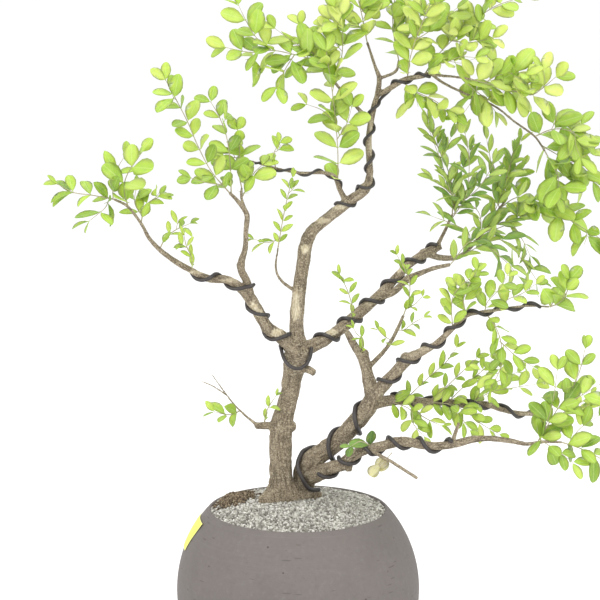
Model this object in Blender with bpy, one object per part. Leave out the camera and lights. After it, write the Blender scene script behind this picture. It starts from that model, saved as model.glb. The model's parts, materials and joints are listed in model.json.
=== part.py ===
"""A bonsai tree in a round ceramic pot, with training wire on its limbs.

Frame: metres, +Z up. The origin is the centre of the pot's flat foot, and the tree's front looks along -Y.
Routes of wood and twigs are drawn in millimetres from the pot's axis, with heights above the pot's rim.
"""
import math
import random

import bmesh
import bpy
from mathutils import Vector
from mathutils.bvhtree import BVHTree
from mathutils.geometry import intersect_point_line

MM = 0.001
GAP = 0.3 * MM                  # clearance that neighbouring pieces keep

# The pot: a globe cut flat at its foot and at its mouth
POT_RADIUS = 112.5 * MM
POT_CENTRE = 90 * MM            # height of the globe's middle
MOUTH_RADIUS = 80 * MM
LIP = 3 * MM                    # width of the rim around the mouth
POT_WALL = 7 * MM
POT_FLOOR = 9 * MM
DRAIN_RADIUS = 8 * MM
DRAIN_CIRCLE = 32 * MM
DRAIN_COUNT = 3
NET_OVERLAP = 8 * MM
NET_THICKNESS = 1 * MM
ROUND_SIDES = 36

# What the pot holds
GRIT_BELOW_RIM = 1 * MM
GRIT_DEPTH = 14 * MM
MOUND = 9 * MM                  # how far the grit rises to the middle
ROOT_DEPTH = 34 * MM            # how far the root collar reaches below the rim
COLLAR_CENTRE = (-8 * MM, 11 * MM)
COLLAR_LENGTH = 29 * MM         # half the collar's long way, left to right
COLLAR_DEPTH = 15.5 * MM        # half the collar's short way, front to back
COLLAR_TURN = math.radians(20)  # its right end lies further back
FLARE_HEIGHT = 26 * MM          # above the rim, where the flare has become the trunk
MOSS_AZIMUTH = math.radians(161)
MOSS_LENGTH = 22 * MM           # half its way along the rim
MOSS_HEIGHT = 5 * MM
MOSS_RAGGEDNESS = 0.15
MOSS_TO_RIM = 4 * MM
MOSS_TO_COLLAR = 2.771986 * MM

# The label on the pot's shoulder
LABEL_WIDTH = 44 * MM
LABEL_HEIGHT = 31 * MM
LABEL_THICKNESS = 0.8 * MM
LABEL_LATITUDE = math.radians(29)
LABEL_AZIMUTH = math.radians(177)

# The tree
TREE_HEIGHT = 500 * MM          # from the rim to the topmost shoot
DRAWN_HEIGHT = 500 * MM         # height of the tree as its routes are drawn
GIRTH = 1.0                     # thickness of all wood against the drawn one
LEAF_SIZE = 1.0                 # size of all leaves against the kinds below
TWIG_THICKNESS = 1.3 * MM
LEAF_THICKNESS = 0.6 * MM
NODE_LENGTH = 2.2 * MM          # length of twig that a pair of leaves stands on
BEND_TOLERANCE = 0.45 * MM      # how far a twig may stray from its route
TWIG_TAPER = 0.45               # share of its thickness that a twig loses to its tip
SIDE_TWIG = 0.8                 # thickness of a side twig against its parent's
LEAF_LEAN = (40, 62)            # degrees between a leaf and its twig
LEAF_BELLY = 0.52               # where along its length a leaf is widest
LEAF_DROOP = 0.08               # how far its tip curls down, against its length
LEAF_CLEAR_FROM = 0.08          # share of the way to its widest place from where a leaf keeps clear
LAST_LEAF = 0.8                 # size of the leaf at a twig's end against the full one
WIRE_SIDES = 5
WIRE_STEPS = 8                  # points on each turn of wire

RIM = POT_CENTRE + math.sqrt(POT_RADIUS ** 2 - (MOUTH_RADIUS + LIP) ** 2)
SCALE = TREE_HEIGHT / DRAWN_HEIGHT

# Leaf length and width in millimetres
LEAVES = {
    "crown": (20, 12.5),
    "big": (24, 14),
    "fresh": (18, 11),
    "round": (18, 14),
    "left": (16, 8.5),
    "slim": (13, 5),
    "shade": (16, 6.5),
    "small": (13, 7),
    "dark": (13, 8),
    "dry": (13, 10),
}

# Wood: parent limb, then points (x, y, height above the rim, diameter)
LIMBS = {
    "trunk": (None, [
        (-10, 8, -20, 24), (-14, 7, 12, 22), (-16, 6, 34, 20.3), (-16, 6, 60, 19.8), (-15, 6, 76, 21.2),
        (-12, 7, 90, 17.6), (-8, 7, 104, 16.6), (-5, 6, 123, 17.4), (-1, 5, 140, 25), (0, 4, 156, 15)]),
    "leader": ("trunk", [
        (-1, 5, 146, 16), (-1, 7, 174, 12.3), (1, 11, 201, 12.3), (5, 14, 230, 11.8), (8, 16, 246, 11.8),
        (15, 17, 257, 10.4), (29, 19, 268, 9.5), (47, 21, 282, 9.6), (61, 22, 292, 8.4), (65, 23, 308, 6.2),
        (64, 24, 337, 5.6), (68, 25, 364, 5.4), (72, 25, 380, 5), (73, 26, 393, 4.5), (69, 26, 404, 3),
        (62, 26, 425, 2.7)]),
    "leader_left": ("leader", [
        (65, 24, 354, 4.1), (53, 17, 367, 3.6), (42, 14, 379, 3), (30, 10, 393, 2.7), (24, 9, 400, 2.4)]),
    "leader_back": ("leader", [(73, 26, 391, 3), (88, 30, 398, 2.8), (91, 34, 408, 2.4)]),
    "crown_branch": ("leader", [
        (71, 25, 377, 5), (83, 21, 384, 4.9), (96, 18, 392, 4.8), (111, 14, 395, 4.5), (120, 12, 399, 3.8)]),
    "crown_spray": ("crown_branch", [(116, 13, 398, 3), (140, 7, 395, 2.5), (155, 4, 393, 2.2)]),
    "crown_drop": ("crown_branch", [
        (117, 13, 398, 3), (132, 16, 388, 2.6), (155, 20, 377, 2.4), (178, 25, 367, 2.3), (196, 29, 353, 2.3),
        (215, 33, 339, 2.2), (225, 36, 325, 2)]),
    "low_branch": ("leader", [
        (44, 21, 279, 6), (38, 22, 292, 4.8), (33, 20, 304, 4.2), (22, 17, 308, 3.7), (6, 13, 308, 3),
        (-12, 8, 311, 2.6), (-32, 3, 317, 2.3), (-44, -1, 321, 2)]),
    "inner_twig": ("leader", [(0, 11, 199, 3.6), (-15, 5, 211, 2.8), (-20, 3, 223, 2.4), (-18, -1, 242, 2)]),
    "left_limb": ("trunk", [
        (0, 5, 143, 15), (-15, -1, 160, 12), (-27, -6, 169, 11), (-34, -11, 182, 10.8), (-41, -16, 196, 10.3),
        (-52, -21, 209, 8.5), (-64, -25, 217, 7.3), (-78, -28, 218, 6.6), (-94, -33, 226, 5.6),
        (-115, -38, 240, 4.6), (-130, -41, 255, 3.8), (-138, -43, 270, 3), (-149, -45, 285, 2.7),
        (-161, -47, 292, 2.4)]),
    "left_rise": ("left_limb", [
        (-41, -17, 197, 8), (-45, -21, 213, 6.6), (-51, -24, 228, 7), (-47, -26, 245, 5),
        (-46, -27, 262, 4.6), (-45, -28, 275, 5.2), (-50, -29, 284, 4.2), (-56, -29, 291, 3.4),
        (-61, -30, 296, 2.8)]),
    "left_fork": ("left_rise", [(-47, -28, 278, 3.6), (-50, -24, 290, 2.8), (-50, -20, 299, 2.3)]),
    "right_limb": ("trunk", [
        (0, 6, 146, 15), (13, 13, 149, 13), (26, 18, 155, 11.2), (39, 23, 163, 10.8), (55, 29, 176, 10.1),
        (74, 36, 191, 9.7), (89, 41, 206, 8), (103, 46, 220, 7.8), (116, 49, 228, 8.2), (132, 52, 236, 7)]),
    "right_side": ("right_limb", [
        (118, 49, 229, 6), (131, 50, 225, 5.6), (148, 53, 225, 4.8), (158, 56, 232, 4), (170, 60, 245, 3.2),
        (178, 63, 257, 2.6), (187, 66, 269, 2.2)]),
    "right_under": ("right_limb", [
        (72, 36, 189, 7.4), (88, 33, 196, 6.2), (100, 29, 208, 6.6), (121, 26, 218, 4.3),
        (139, 22, 223, 3.5)]),
    "shade_twig": ("right_limb", [
        (128, 51, 234, 4.4), (134, 49, 247, 3.6), (139, 49, 258, 3), (142, 48, 266, 2.6)]),
    "shade_high": ("right_side", [(185, 66, 267, 2.4), (193, 61, 278, 2.1)]),
    "low_limb": ("trunk", [
        (4, 19, -10, 20), (4, 17, 14, 20), (7, 13, 34, 20), (15, 7, 45, 19), (26, 0, 55, 17),
        (39, -8, 67, 15.6), (51, -14, 82, 15.4), (61, -18, 95, 15.6), (68, -22, 109, 15)]),
    "mid_stub": ("low_limb", [
        (67, -21, 106, 13), (65, -16, 119, 12.2), (62, -11, 132, 10.4), (58, -7, 144, 10.2),
        (51, -3, 153, 7.3), (44, 2, 165, 5.4)]),
    "mid_twig": ("mid_stub", [(62, -11, 131, 4.8), (80, -3, 150, 4), (90, 3, 166, 3.5), (96, 7, 179, 3)]),
    "mid_limb": ("low_limb", [
        (66, -21, 105, 14), (74, -26, 118, 12), (84, -30, 130, 10), (98, -35, 146, 9.6), (110, -38, 154, 7.6),
        (123, -41, 162, 6), (137, -44, 176, 4.8), (149, -46, 188, 4.2), (165, -48, 192, 3.4),
        (183, -50, 195, 2.7), (203, -51, 198, 2.4), (222, -52, 197, 2.1)]),
    "back_limb": ("low_limb", [
        (65, -20, 102, 12), (81, -15, 104, 10), (97, -11, 104, 8.4), (118, -4, 100, 7.4), (137, 2, 99, 6.6),
        (154, 7, 95, 6.2), (171, 12, 95, 5.7), (187, 17, 89, 5.2), (203, 22, 84, 4.6), (220, 27, 82, 3.9),
        (232, 31, 78, 3)]),
    "front_limb": ("low_limb", [
        (8, 10, 22, 15), (17, 1, 31, 14), (30, -13, 41, 12), (41, -19, 46, 11.6), (49, -24, 55, 10),
        (60, -30, 62, 8.8), (74, -37, 67, 8.5), (90, -44, 73, 9), (104, -50, 73, 8.2), (119, -56, 72, 7.2),
        (137, -62, 75, 7), (154, -68, 81, 6.3), (171, -73, 83, 5.4), (188, -78, 82, 4.6), (201, -81, 80, 4),
        (216, -85, 83, 2.9), (231, -87, 83, 2.4)]),
    "left_stub": ("trunk", [(-16, 9, 76, 9), (-28, 6, 76, 7), (-39, 2, 77, 6.4)]),
    "left_stub_twig": ("left_stub", [
        (-37, 3, 78, 3.4), (-48, -1, 87, 2.4), (-58, -4, 98, 2), (-67, -8, 111, 1.7), (-78, -12, 128, 1.4)]),
    "left_stub_side": ("left_stub_twig", [(-65, -7, 107, 1.8), (-77, -4, 115, 1.6), (-89, -2, 120, 1.3)]),
    "fork_stub": ("trunk", [(-3, 5, 134, 8), (8, -7, 132, 7), (15, -12, 129, 6.4)]),
    "front_twig": ("front_limb", [
        (64, -32, 64, 4), (73, -50, 62, 3.4), (82, -58, 59, 3), (94, -62, 52, 3.1), (106, -66, 45, 3.3)]),
    "front_spur": ("front_limb", [(137, -62, 76, 4.4), (139, -70, 88, 3.6), (142, -72, 97, 3)]),
}

# Swellings where old cuts have healed: x, y, height, diameter
KNOBS = [
    (3, -4, 130, 9), (45, -22, 44, 10), (60, 21, 294, 10.5), (97, -35, 148, 12), (58, -8, 146, 12.5),
    (-51, -23, 230, 8.5), (117, 49, 230, 10), (-8, 4, 76, 13), (101, 30, 209, 8.5),
]


def spray(kind, pairs, main, sides=()):
    """A leafy twig: its kind of leaf, its pairs of leaves, its route and its side twigs (pairs, route)."""
    return {"kind": kind, "pairs": pairs, "main": main, "sides": sides}


# Leafy twigs: points (x, y, height above the rim)
SPRAYS = {
    "left_end": spray("left", 5, [(-161, -47, 292), (-182, -48, 296), (-196, -48, 298), (-210, -52, 306)], [
        (2, [(-162, -47, 293), (-162, -46, 304), (-159, -43, 317), (-152, -40, 329)]),
        (3, [(-165, -47, 293), (-168, -56, 286), (-173, -64, 282), (-181, -71, 276)])]),
    "left_tip": spray("round", 4, [(-149, -45, 285), (-152, -49, 299), (-149, -55, 314), (-135, -64, 335)]),
    "left_mid": spray("left", 3, [(-138, -43, 270), (-136, -38, 281), (-131, -33, 288), (-122, -28, 292)], [
        (2, [(-137, -41, 276), (-144, -35, 287), (-143, -27, 300)])]),
    "left_slim_1": spray("slim", 4, [(-122, -39, 247), (-117, -37, 256), (-108, -33, 263), (-96, -30, 268)]),
    "left_slim_2": spray("slim", 3, [(-94, -33, 226), (-94, -40, 239), (-98, -46, 250), (-100, -50, 260)]),
    "rise_long": spray("fresh", 7, [
        (-61, -30, 296), (-76, -36, 315), (-87, -42, 337), (-96, -49, 360), (-106, -55, 381),
        (-114, -60, 397)], [
        (3, [(-67, -33, 303), (-80, -42, 306), (-93, -50, 311)])]),
    "rise_tall": spray("fresh", 5, [
        (-59, -29, 295), (-60, -22, 320), (-63, -18, 343), (-69, -15, 360), (-77, -12, 374)]),
    "rise_mid": spray("round", 4, [(-50, -20, 299), (-53, -13, 314), (-52, -8, 330), (-54, 0, 348)]),
    "rise_right": spray("fresh", 3, [(-50, -24, 290), (-44, -17, 301), (-39, -10, 311), (-32, -4, 317)]),
    "branch_end": spray("left", 3, [(-44, -1, 321), (-54, 1, 323), (-66, 6, 323)]),
    "branch_up": spray("left", 3, [(-20, 6, 313), (-22, 8, 325), (-17, 13, 335)]),
    "upright": spray("fresh", 7, [
        (36, 22, 296), (36, 17, 325), (34, 9, 352), (31, 3, 379), (28, -1, 400), (25, -4, 418)], [
        (2, [(33, 9, 354), (22, 18, 364), (8, 24, 369)]),
        (2, [(35, 16, 338), (43, 10, 351), (48, 4, 368)])]),
    "high_left": spray("fresh", 6, [
        (24, 9, 400), (10, 5, 411), (-7, 2, 416), (-23, 0, 419), (-42, 4, 417), (-64, 8, 421)], [
        (2, [(-3, 3, 415), (-11, -3, 403), (-18, -10, 388)]),
        (3, [(-24, 0, 419), (-38, -6, 432), (-46, -9, 446), (-52, -14, 459)])]),
    "high_up": spray("fresh", 3, [(28, 10, 396), (16, 12, 412), (7, 14, 426), (2, 17, 440)], [
        (2, [(13, 13, 416), (-4, 6, 426), (-20, 0, 438)])]),
    "top": spray("crown", 6, [(62, 26, 425), (57, 26, 450), (51, 24, 473), (44, 21, 492)], [
        (3, [(60, 26, 436), (48, 22, 440), (29, 14, 441)]),
        (3, [(57, 26, 452), (67, 31, 461), (80, 38, 478)])]),
    "top_left": spray("crown", 5, [(31, 10, 392), (38, 10, 408), (40, 8, 428), (38, 6, 449)]),
    "back": spray("crown", 5, [(91, 34, 408), (87, 41, 428), (86, 47, 452), (92, 52, 480)], [
        (2, [(90, 37, 418), (102, 46, 434), (114, 56, 450)])]),
    "crown_up": spray("crown", 6, [
        (98, 18, 392), (100, 14, 410), (105, 10, 428), (113, 3, 450), (122, -4, 472), (131, -8, 489)], [
        (3, [(104, 10, 427), (120, 15, 437), (142, 24, 455)])]),
    "crown_rise": spray("crown", 7, [
        (113, 14, 396), (123, 19, 411), (138, 24, 426), (155, 28, 441), (177, 34, 456), (204, 41, 465)], [
        (3, [(138, 24, 426), (154, 16, 425), (172, 8, 429)]),
        (3, [(118, 17, 405), (132, 8, 408), (144, 1, 413), (157, -4, 413)])]),
    "crown_low": spray("crown", 4, [(93, 18, 390), (106, 12, 381), (120, 8, 375), (134, 2, 366)]),
    "spray_end": spray("crown", 6, [
        (155, 4, 393), (170, 0, 389), (190, -4, 384), (206, -8, 380), (216, -11, 386), (227, -14, 396)], [
        (3, [(166, 1, 390), (180, -3, 398), (201, -9, 400)])]),
    "spray_low": spray("crown", 3, [(146, 6, 394), (157, 10, 384), (168, 15, 375), (177, 19, 364)]),
    "drop_tip": spray("big", 4, [(225, 36, 325), (231, 34, 314), (237, 32, 302), (236, 30, 286)]),
    "drop_out": spray("big", 4, [(215, 33, 339), (229, 26, 346), (243, 21, 346), (258, 16, 338)]),
    "drop_far": spray("big", 4, [(221, 35, 331), (236, 42, 322), (252, 44, 312), (270, 46, 297)]),
    "drop_arm": spray("big", 5, [
        (187, 66, 269), (204, 60, 280), (226, 56, 274), (249, 50, 261), (278, 44, 244)]),
    "shade_left": spray("shade", 7, [
        (142, 48, 266), (142, 47, 285), (138, 46, 305), (131, 44, 321), (124, 42, 337), (119, 40, 352)], [
        (3, [(142, 47, 290), (150, 54, 303), (158, 60, 322)]),
        (4, [(142, 47, 274), (156, 44, 282), (168, 39, 295), (178, 34, 314)])]),
    "shade_high": spray("shade", 5, [(193, 61, 278), (196, 64, 297), (198, 66, 314), (205, 68, 330)]),
    "shade_low": spray("shade", 4, [(172, 61, 247), (187, 58, 252), (200, 54, 259), (212, 48, 268)]),
    "mid_up": spray("small", 4, [(149, -46, 188), (146, -50, 203), (150, -53, 216), (157, -56, 230)]),
    "mid_end": spray("round", 3, [(222, -52, 197), (230, -54, 201), (236, -56, 210), (238, -58, 222)]),
    "mid_hang": spray("small", 5, [
        (166, -48, 191), (176, -53, 176), (180, -56, 159), (178, -60, 142), (170, -63, 126)], [
        (2, [(178, -55, 167), (191, -57, 155), (207, -60, 145)])]),
    "mid_rise": spray("slim", 5, [(96, 7, 179), (101, 10, 194), (101, 5, 210), (96, 0, 223), (89, -6, 236)], [
        (2, [(98, 8, 184), (106, 2, 190), (112, -6, 198)])]),
    "right_limb_twig": spray("slim", 4, [(50, 27, 171), (49, 22, 186), (45, 18, 200), (38, 13, 215)]),
    "back_up": spray("slim", 5, [(119, -4, 101), (134, -5, 114), (147, -9, 128), (161, -14, 143)]),
    "back_down": spray("small", 3, [(100, -11, 103), (107, -20, 95), (117, -24, 89), (129, -28, 84)]),
    "back_out": spray("small", 4, [(158, 8, 95), (171, 10, 107), (184, 15, 116), (201, 20, 123)]),
    "back_end": spray("small", 4, [(232, 31, 78), (245, 31, 82), (257, 27, 90), (270, 22, 101)]),
    "far_up": spray("fresh", 6, [
        (210, -83, 82), (219, -81, 97), (228, -77, 111), (239, -73, 125), (247, -70, 142), (252, -67, 162)], [
        (2, [(229, -77, 112), (244, -83, 122), (262, -90, 135)])]),
    "far_end": spray("fresh", 4, [(231, -87, 83), (247, -90, 78), (262, -92, 71), (278, -96, 61)], [
        (3, [(236, -88, 81), (247, -82, 94), (264, -76, 104)])]),
    "front_leaves": spray("dark", 3, [(67, -33, 65), (61, -41, 75), (53, -45, 79), (44, -49, 77)]),
    "withered": spray("dry", 2, [(74, -51, 62), (70, -57, 53), (65, -62, 47), (59, -66, 40)]),
    "stub_leaves": spray("left", 3, [(-53, -2, 92), (-61, -6, 93), (-72, -10, 98), (-83, -14, 100)]),
    "stub_up": spray("slim", 3, [(-31, 5, 78), (-29, -1, 90), (-25, -5, 99), (-20, -8, 107)]),
    "inner": spray("slim", 5, [(-18, -1, 242), (-14, -6, 266), (-10, -9, 286), (-5, -5, 306)], [
        (2, [(-17, -3, 250), (-28, -10, 248), (-39, -16, 252)])]),
}

# Training wires: diameter in millimetres, a start set in the grit if it has one, then the windings:
# limb, from and to as shares of the limb's length, turns (negative is left-handed), angle of the first point
WIRES = {
    "wire_low_limb": (4.0, [(20, 12, 14), (10, 2, 17), (4, -4, 29), (-1, 0, 40)], [
        ("low_limb", 0.4, 0.98, -2.45, 0)]),
    "wire_mid_limb": (3.2, [], [("mid_limb", 0.1, 0.96, 6.4, 318)]),
    "wire_back_limb": (3.2, [], [("back_limb", 0.12, 0.97, 4.3, 320)]),
    "wire_front_limb": (3.6, [], [("front_limb", 0.12, 0.64, 4.95, 70)]),
    "wire_left_limb": (3.4, [], [("left_limb", 0.08, 0.585, -3.7, 180)]),
    "wire_right_limb": (3.6, [], [("right_limb", 0.12, 0.98, 5.4, 270)]),
    "wire_leader": (2.8, [], [("leader", 0.46, 0.83, 4.7, 338), ("crown_branch", 0.2, 0.95, 1.8, 220)]),
    "wire_low_branch": (2.2, [], [("low_branch", 0.1, 0.95, -3.6, 290)]),
}

COLOURS = {
    "ceramic": ((0.27, 0.235, 0.225), 0.85, 0.0),
    "plastic": ((0.02, 0.02, 0.02), 0.5, 0.0),
    "soil": ((0.06, 0.04, 0.025), 0.95, 0.0),
    "grit": ((0.42, 0.41, 0.36), 0.9, 0.0),
    "moss": ((0.2, 0.15, 0.09), 0.95, 0.0),
    "paper": ((0.87, 0.87, 0.12), 0.6, 0.0),
    "bark": ((0.25, 0.19, 0.12), 0.9, 0.0),
    "wire": ((0.045, 0.043, 0.045), 0.45, 0.6),
    "leaf": ((0.33, 0.55, 0.07), 0.5, 0.0),
    "shade_leaf": ((0.11, 0.22, 0.04), 0.5, 0.0),
    "dry_leaf": ((0.5, 0.42, 0.2), 0.7, 0.0),
}


def material(name):
    """The named finish, made once."""
    if name in bpy.data.materials:
        return bpy.data.materials[name]
    colour, roughness, metallic = COLOURS[name]
    made = bpy.data.materials.new(name)
    made.use_nodes = True
    shader = made.node_tree.nodes["Principled BSDF"]
    shader.inputs["Base Color"].default_value = (*colour, 1.0)
    shader.inputs["Roughness"].default_value = roughness
    shader.inputs["Metallic"].default_value = metallic
    made.diffuse_color = (*colour, 1.0)
    return made


def piece(name, vertices, faces, finish):
    """A named object from a closed surface, with its faces turned outwards."""
    mesh = bpy.data.meshes.new(name)
    mesh.from_pydata([tuple(v) for v in vertices], [], faces)
    shaped = bmesh.new()
    shaped.from_mesh(mesh)
    bmesh.ops.recalc_face_normals(shaped, faces=shaped.faces)
    if shaped.calc_volume(signed=True) < 0:
        bmesh.ops.reverse_faces(shaped, faces=shaped.faces)
    shaped.to_mesh(mesh)
    shaped.free()
    mesh.shade_smooth()
    mesh.set_sharp_from_angle(angle=math.radians(40))
    mesh.materials.append(material(finish))
    made = bpy.data.objects.new(name, mesh)
    bpy.context.scene.collection.objects.link(made)
    return made


def cutter(made):
    """Marks an object as a helper that other pieces are joined with or cut by."""
    made.hide_render = True
    made.display_type = "WIRE"
    return made


def boolean(target, other, operation):
    """Adds an exact Boolean with the other object."""
    step = target.modifiers.new(other.name, "BOOLEAN")
    step.operation = operation
    step.solver = "EXACT"
    step.object = other


def surface(mesh):
    """The vertices and polygons of a mesh."""
    return [v.co.copy() for v in mesh.vertices], [tuple(p.vertices) for p in mesh.polygons]


def evaluated(made):
    """The vertices and polygons of an object with its modifiers."""
    return surface(made.evaluated_get(bpy.context.evaluated_depsgraph_get()).data)


# ---------------------------------------------------------------- closed surfaces from stacked rings

def stacked(rings, bottom, top):
    """Vertices and faces of a solid whose surface runs over the rings from one pole to the other."""
    count = len(rings[0])
    vertices = [bottom] + [point for ring in rings for point in ring] + [top]
    last = len(vertices) - 1
    faces = []
    for k in range(count):
        n = (k + 1) % count
        faces.append((0, 1 + n, 1 + k))
        faces.append((last, last - count + k, last - count + n))
        for row in range(len(rings) - 1):
            a = 1 + row * count
            faces.append((a + k, a + n, a + count + n, a + count + k))
    return vertices, faces


def ringed(rings):
    """Vertices and faces of a solid whose surface runs over the rings and back to the first one."""
    count = len(rings[0])
    vertices = [point for ring in rings for point in ring]
    faces = []
    for row in range(len(rings)):
        a = row * count
        b = ((row + 1) % len(rings)) * count
        for k in range(count):
            n = (k + 1) % count
            faces.append((a + k, a + n, b + n, b + k))
    return vertices, faces


def circle(radius, height):
    """A level ring of points around the pot's axis."""
    turn = 2 * math.pi / ROUND_SIDES
    return [Vector((radius * math.cos(k * turn), radius * math.sin(k * turn), height))
            for k in range(ROUND_SIDES)]


def globe_radius(radius, height):
    """The radius at a height of a globe about the pot's middle."""
    return math.sqrt(radius ** 2 - (height - POT_CENTRE) ** 2)


def arc(radius, low, high, steps):
    """Rings up the globe of this radius, between two heights, at even angles."""
    start = math.asin((low - POT_CENTRE) / radius)
    end = math.asin((high - POT_CENTRE) / radius)
    rings = []
    for k in range(steps + 1):
        angle = start + (end - start) * k / steps
        rings.append((radius * math.cos(angle), POT_CENTRE + radius * math.sin(angle)))
    return rings


# ---------------------------------------------------------------- pot and filling

INNER_RADIUS = POT_RADIUS - POT_WALL
MOUTH_DEPTH = RIM - (POT_CENTRE + math.sqrt(INNER_RADIUS ** 2 - MOUTH_RADIUS ** 2))
INNER_STEPS = 6                 # flats that the pot's inner curve is made of
INNER_SWEEP = (math.asin((RIM - MOUTH_DEPTH - POT_CENTRE) / INNER_RADIUS)
               + math.asin((POT_CENTRE - POT_FLOOR) / INNER_RADIUS))
FILL_RADIUS = INNER_RADIUS * math.cos(INNER_SWEEP / INNER_STEPS / 2) - GAP
FILL_MOUTH = MOUTH_RADIUS - GAP
NET_TOP = POT_FLOOR + GAP + NET_THICKNESS
SOIL_TOP = RIM - GRIT_BELOW_RIM - GRIT_DEPTH


def build_pot():
    """The globe, its cut mouth and its drain holes."""
    lip = LIP * 0.3
    outer = arc(POT_RADIUS, 0.0, RIM - lip, 10)
    inner = arc(INNER_RADIUS, POT_FLOOR, RIM - MOUTH_DEPTH, INNER_STEPS)
    profile = outer + [(MOUTH_RADIUS + LIP - lip, RIM), (MOUTH_RADIUS + lip, RIM), (MOUTH_RADIUS, RIM - lip)]
    profile += inner[::-1]
    rings = [circle(r, z) for r, z in profile]
    pot = piece("pot", *stacked(rings, Vector((0, 0, 0)), Vector((0, 0, POT_FLOOR))), "ceramic")
    for k in range(DRAIN_COUNT):
        angle = 2 * math.pi * (k + 0.3) / DRAIN_COUNT
        bpy.ops.mesh.primitive_cylinder_add(
            vertices=20, radius=DRAIN_RADIUS, depth=4 * POT_FLOOR,
            location=(DRAIN_CIRCLE * math.cos(angle), DRAIN_CIRCLE * math.sin(angle), POT_FLOOR / 2))
        hole = cutter(bpy.context.object)
        hole.name = f"drain_{k + 1}"
        boolean(pot, hole, "DIFFERENCE")
    return pot


def build_net():
    """The disc of plastic net that lies over the drain holes."""
    radius = DRAIN_CIRCLE + DRAIN_RADIUS + NET_OVERLAP
    low = POT_FLOOR + GAP
    rings = [circle(radius, low), circle(radius, NET_TOP)]
    return piece("drain_net", *stacked(rings, Vector((0, 0, low)), Vector((0, 0, NET_TOP))), "plastic")


def grit_height(x, y):
    """Height of the grit's surface, which mounds up to the middle."""
    away = min(math.hypot(x, y) / MOUTH_RADIUS, 1.0)
    return RIM - GRIT_BELOW_RIM + MOUND * (1 - away ** 2)


def collar(grow, height):
    """The root collar's outline at a height, grown outwards."""
    ring = []
    for k in range(ROUND_SIDES):
        angle = 2 * math.pi * k / ROUND_SIDES
        lobes = 1 + 0.07 * math.cos(3 * angle + 0.6) + 0.04 * math.cos(5 * angle)
        long = (COLLAR_LENGTH * GIRTH * SCALE * lobes + grow) * math.cos(angle - COLLAR_TURN)
        short = (COLLAR_DEPTH * GIRTH * SCALE * lobes + grow) * math.sin(angle - COLLAR_TURN)
        x = COLLAR_CENTRE[0] * SCALE + long * math.cos(COLLAR_TURN) - short * math.sin(COLLAR_TURN)
        y = COLLAR_CENTRE[1] * SCALE + long * math.sin(COLLAR_TURN) + short * math.cos(COLLAR_TURN)
        ring.append(Vector((x, y, height)))
    return ring


def collar_edge(azimuth):
    """How far the root collar reaches from the pot's axis, in one direction."""
    off_centre = COLLAR_CENTRE[0] * math.cos(azimuth) + COLLAR_CENTRE[1] * math.sin(azimuth)
    turned = azimuth - COLLAR_TURN
    reach = math.hypot(COLLAR_LENGTH * math.cos(turned), COLLAR_DEPTH * math.sin(turned))
    return (off_centre + reach * GIRTH) * SCALE


def build_soil():
    """The potting mix, with the recess that the root collar stands in."""
    low = NET_TOP + GAP
    recess = RIM - ROOT_DEPTH - GAP
    rings = [circle(0.4 * globe_radius(FILL_RADIUS, low), low)]
    rings += [circle(r, z) for r, z in arc(FILL_RADIUS, low, min(SOIL_TOP - GAP, RIM - MOUTH_DEPTH), 5)]
    rings += [collar(2 * GAP, SOIL_TOP - GAP), collar(2 * GAP, recess)]
    bottom = Vector((0, 0, low))
    top = Vector((COLLAR_CENTRE[0] * SCALE, COLLAR_CENTRE[1] * SCALE, recess))
    return piece("soil", *stacked(rings, bottom, top), "soil")


def build_grit():
    """The layer of pale grit around the root collar."""
    edge = min(FILL_MOUTH, globe_radius(FILL_RADIUS, SOIL_TOP + GAP))
    hole = collar(2 * GAP, 0)
    rim = circle(FILL_MOUTH, 0)
    rings = [collar(2 * GAP, SOIL_TOP)]
    for share in (0.0, 0.3, 0.65, 1.0):
        ring = [a.lerp(b, share) for a, b in zip(hole, rim)]
        rings.append([Vector((p.x, p.y, grit_height(p.x, p.y))) for p in ring])
    rings.append(circle(edge, SOIL_TOP))
    return piece("gravel", *ringed(rings), "grit")


def build_moss():
    """The crumbly patch that lies on the grit, following its surface."""
    chance = random.Random(4)
    sides = 14
    rings = []
    outline = [1 + MOSS_RAGGEDNESS * chance.uniform(-1, 1) for _ in range(sides)]
    outwards = Vector((math.cos(MOSS_AZIMUTH), math.sin(MOSS_AZIMUTH)))
    sideways = outwards.orthogonal()
    outer = MOUTH_RADIUS - MOSS_TO_RIM - MOSS_LENGTH ** 2 / (2 * MOUTH_RADIUS)
    half = (outer - collar_edge(MOSS_AZIMUTH) - MOSS_TO_COLLAR) / 2
    breadth = half / (1 + MOSS_RAGGEDNESS)
    centre = outwards * (outer - half)
    for share, rise in ((0.55, 0.0), (1.0, 0.0), (0.96, 0.35), (0.7, 0.8), (0.35, 1.0)):
        ring = []
        for k in range(sides):
            angle = 2 * math.pi * k / sides
            reach = outwards * breadth * math.cos(angle) + sideways * MOSS_LENGTH * math.sin(angle)
            x, y = centre + reach * share * outline[k]
            lift = rise * MOSS_HEIGHT * (1 + 0.25 * chance.uniform(-1, 1))
            ring.append(Vector((x, y, grit_height(x, y) + GAP + lift)))
        rings.append(ring)
    x, y = centre
    bottom = Vector((x, y, grit_height(x, y) + GAP))
    top = bottom + Vector((0, 0, MOSS_HEIGHT))
    return piece("moss_patch", *stacked(rings, bottom, top), "moss")


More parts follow.
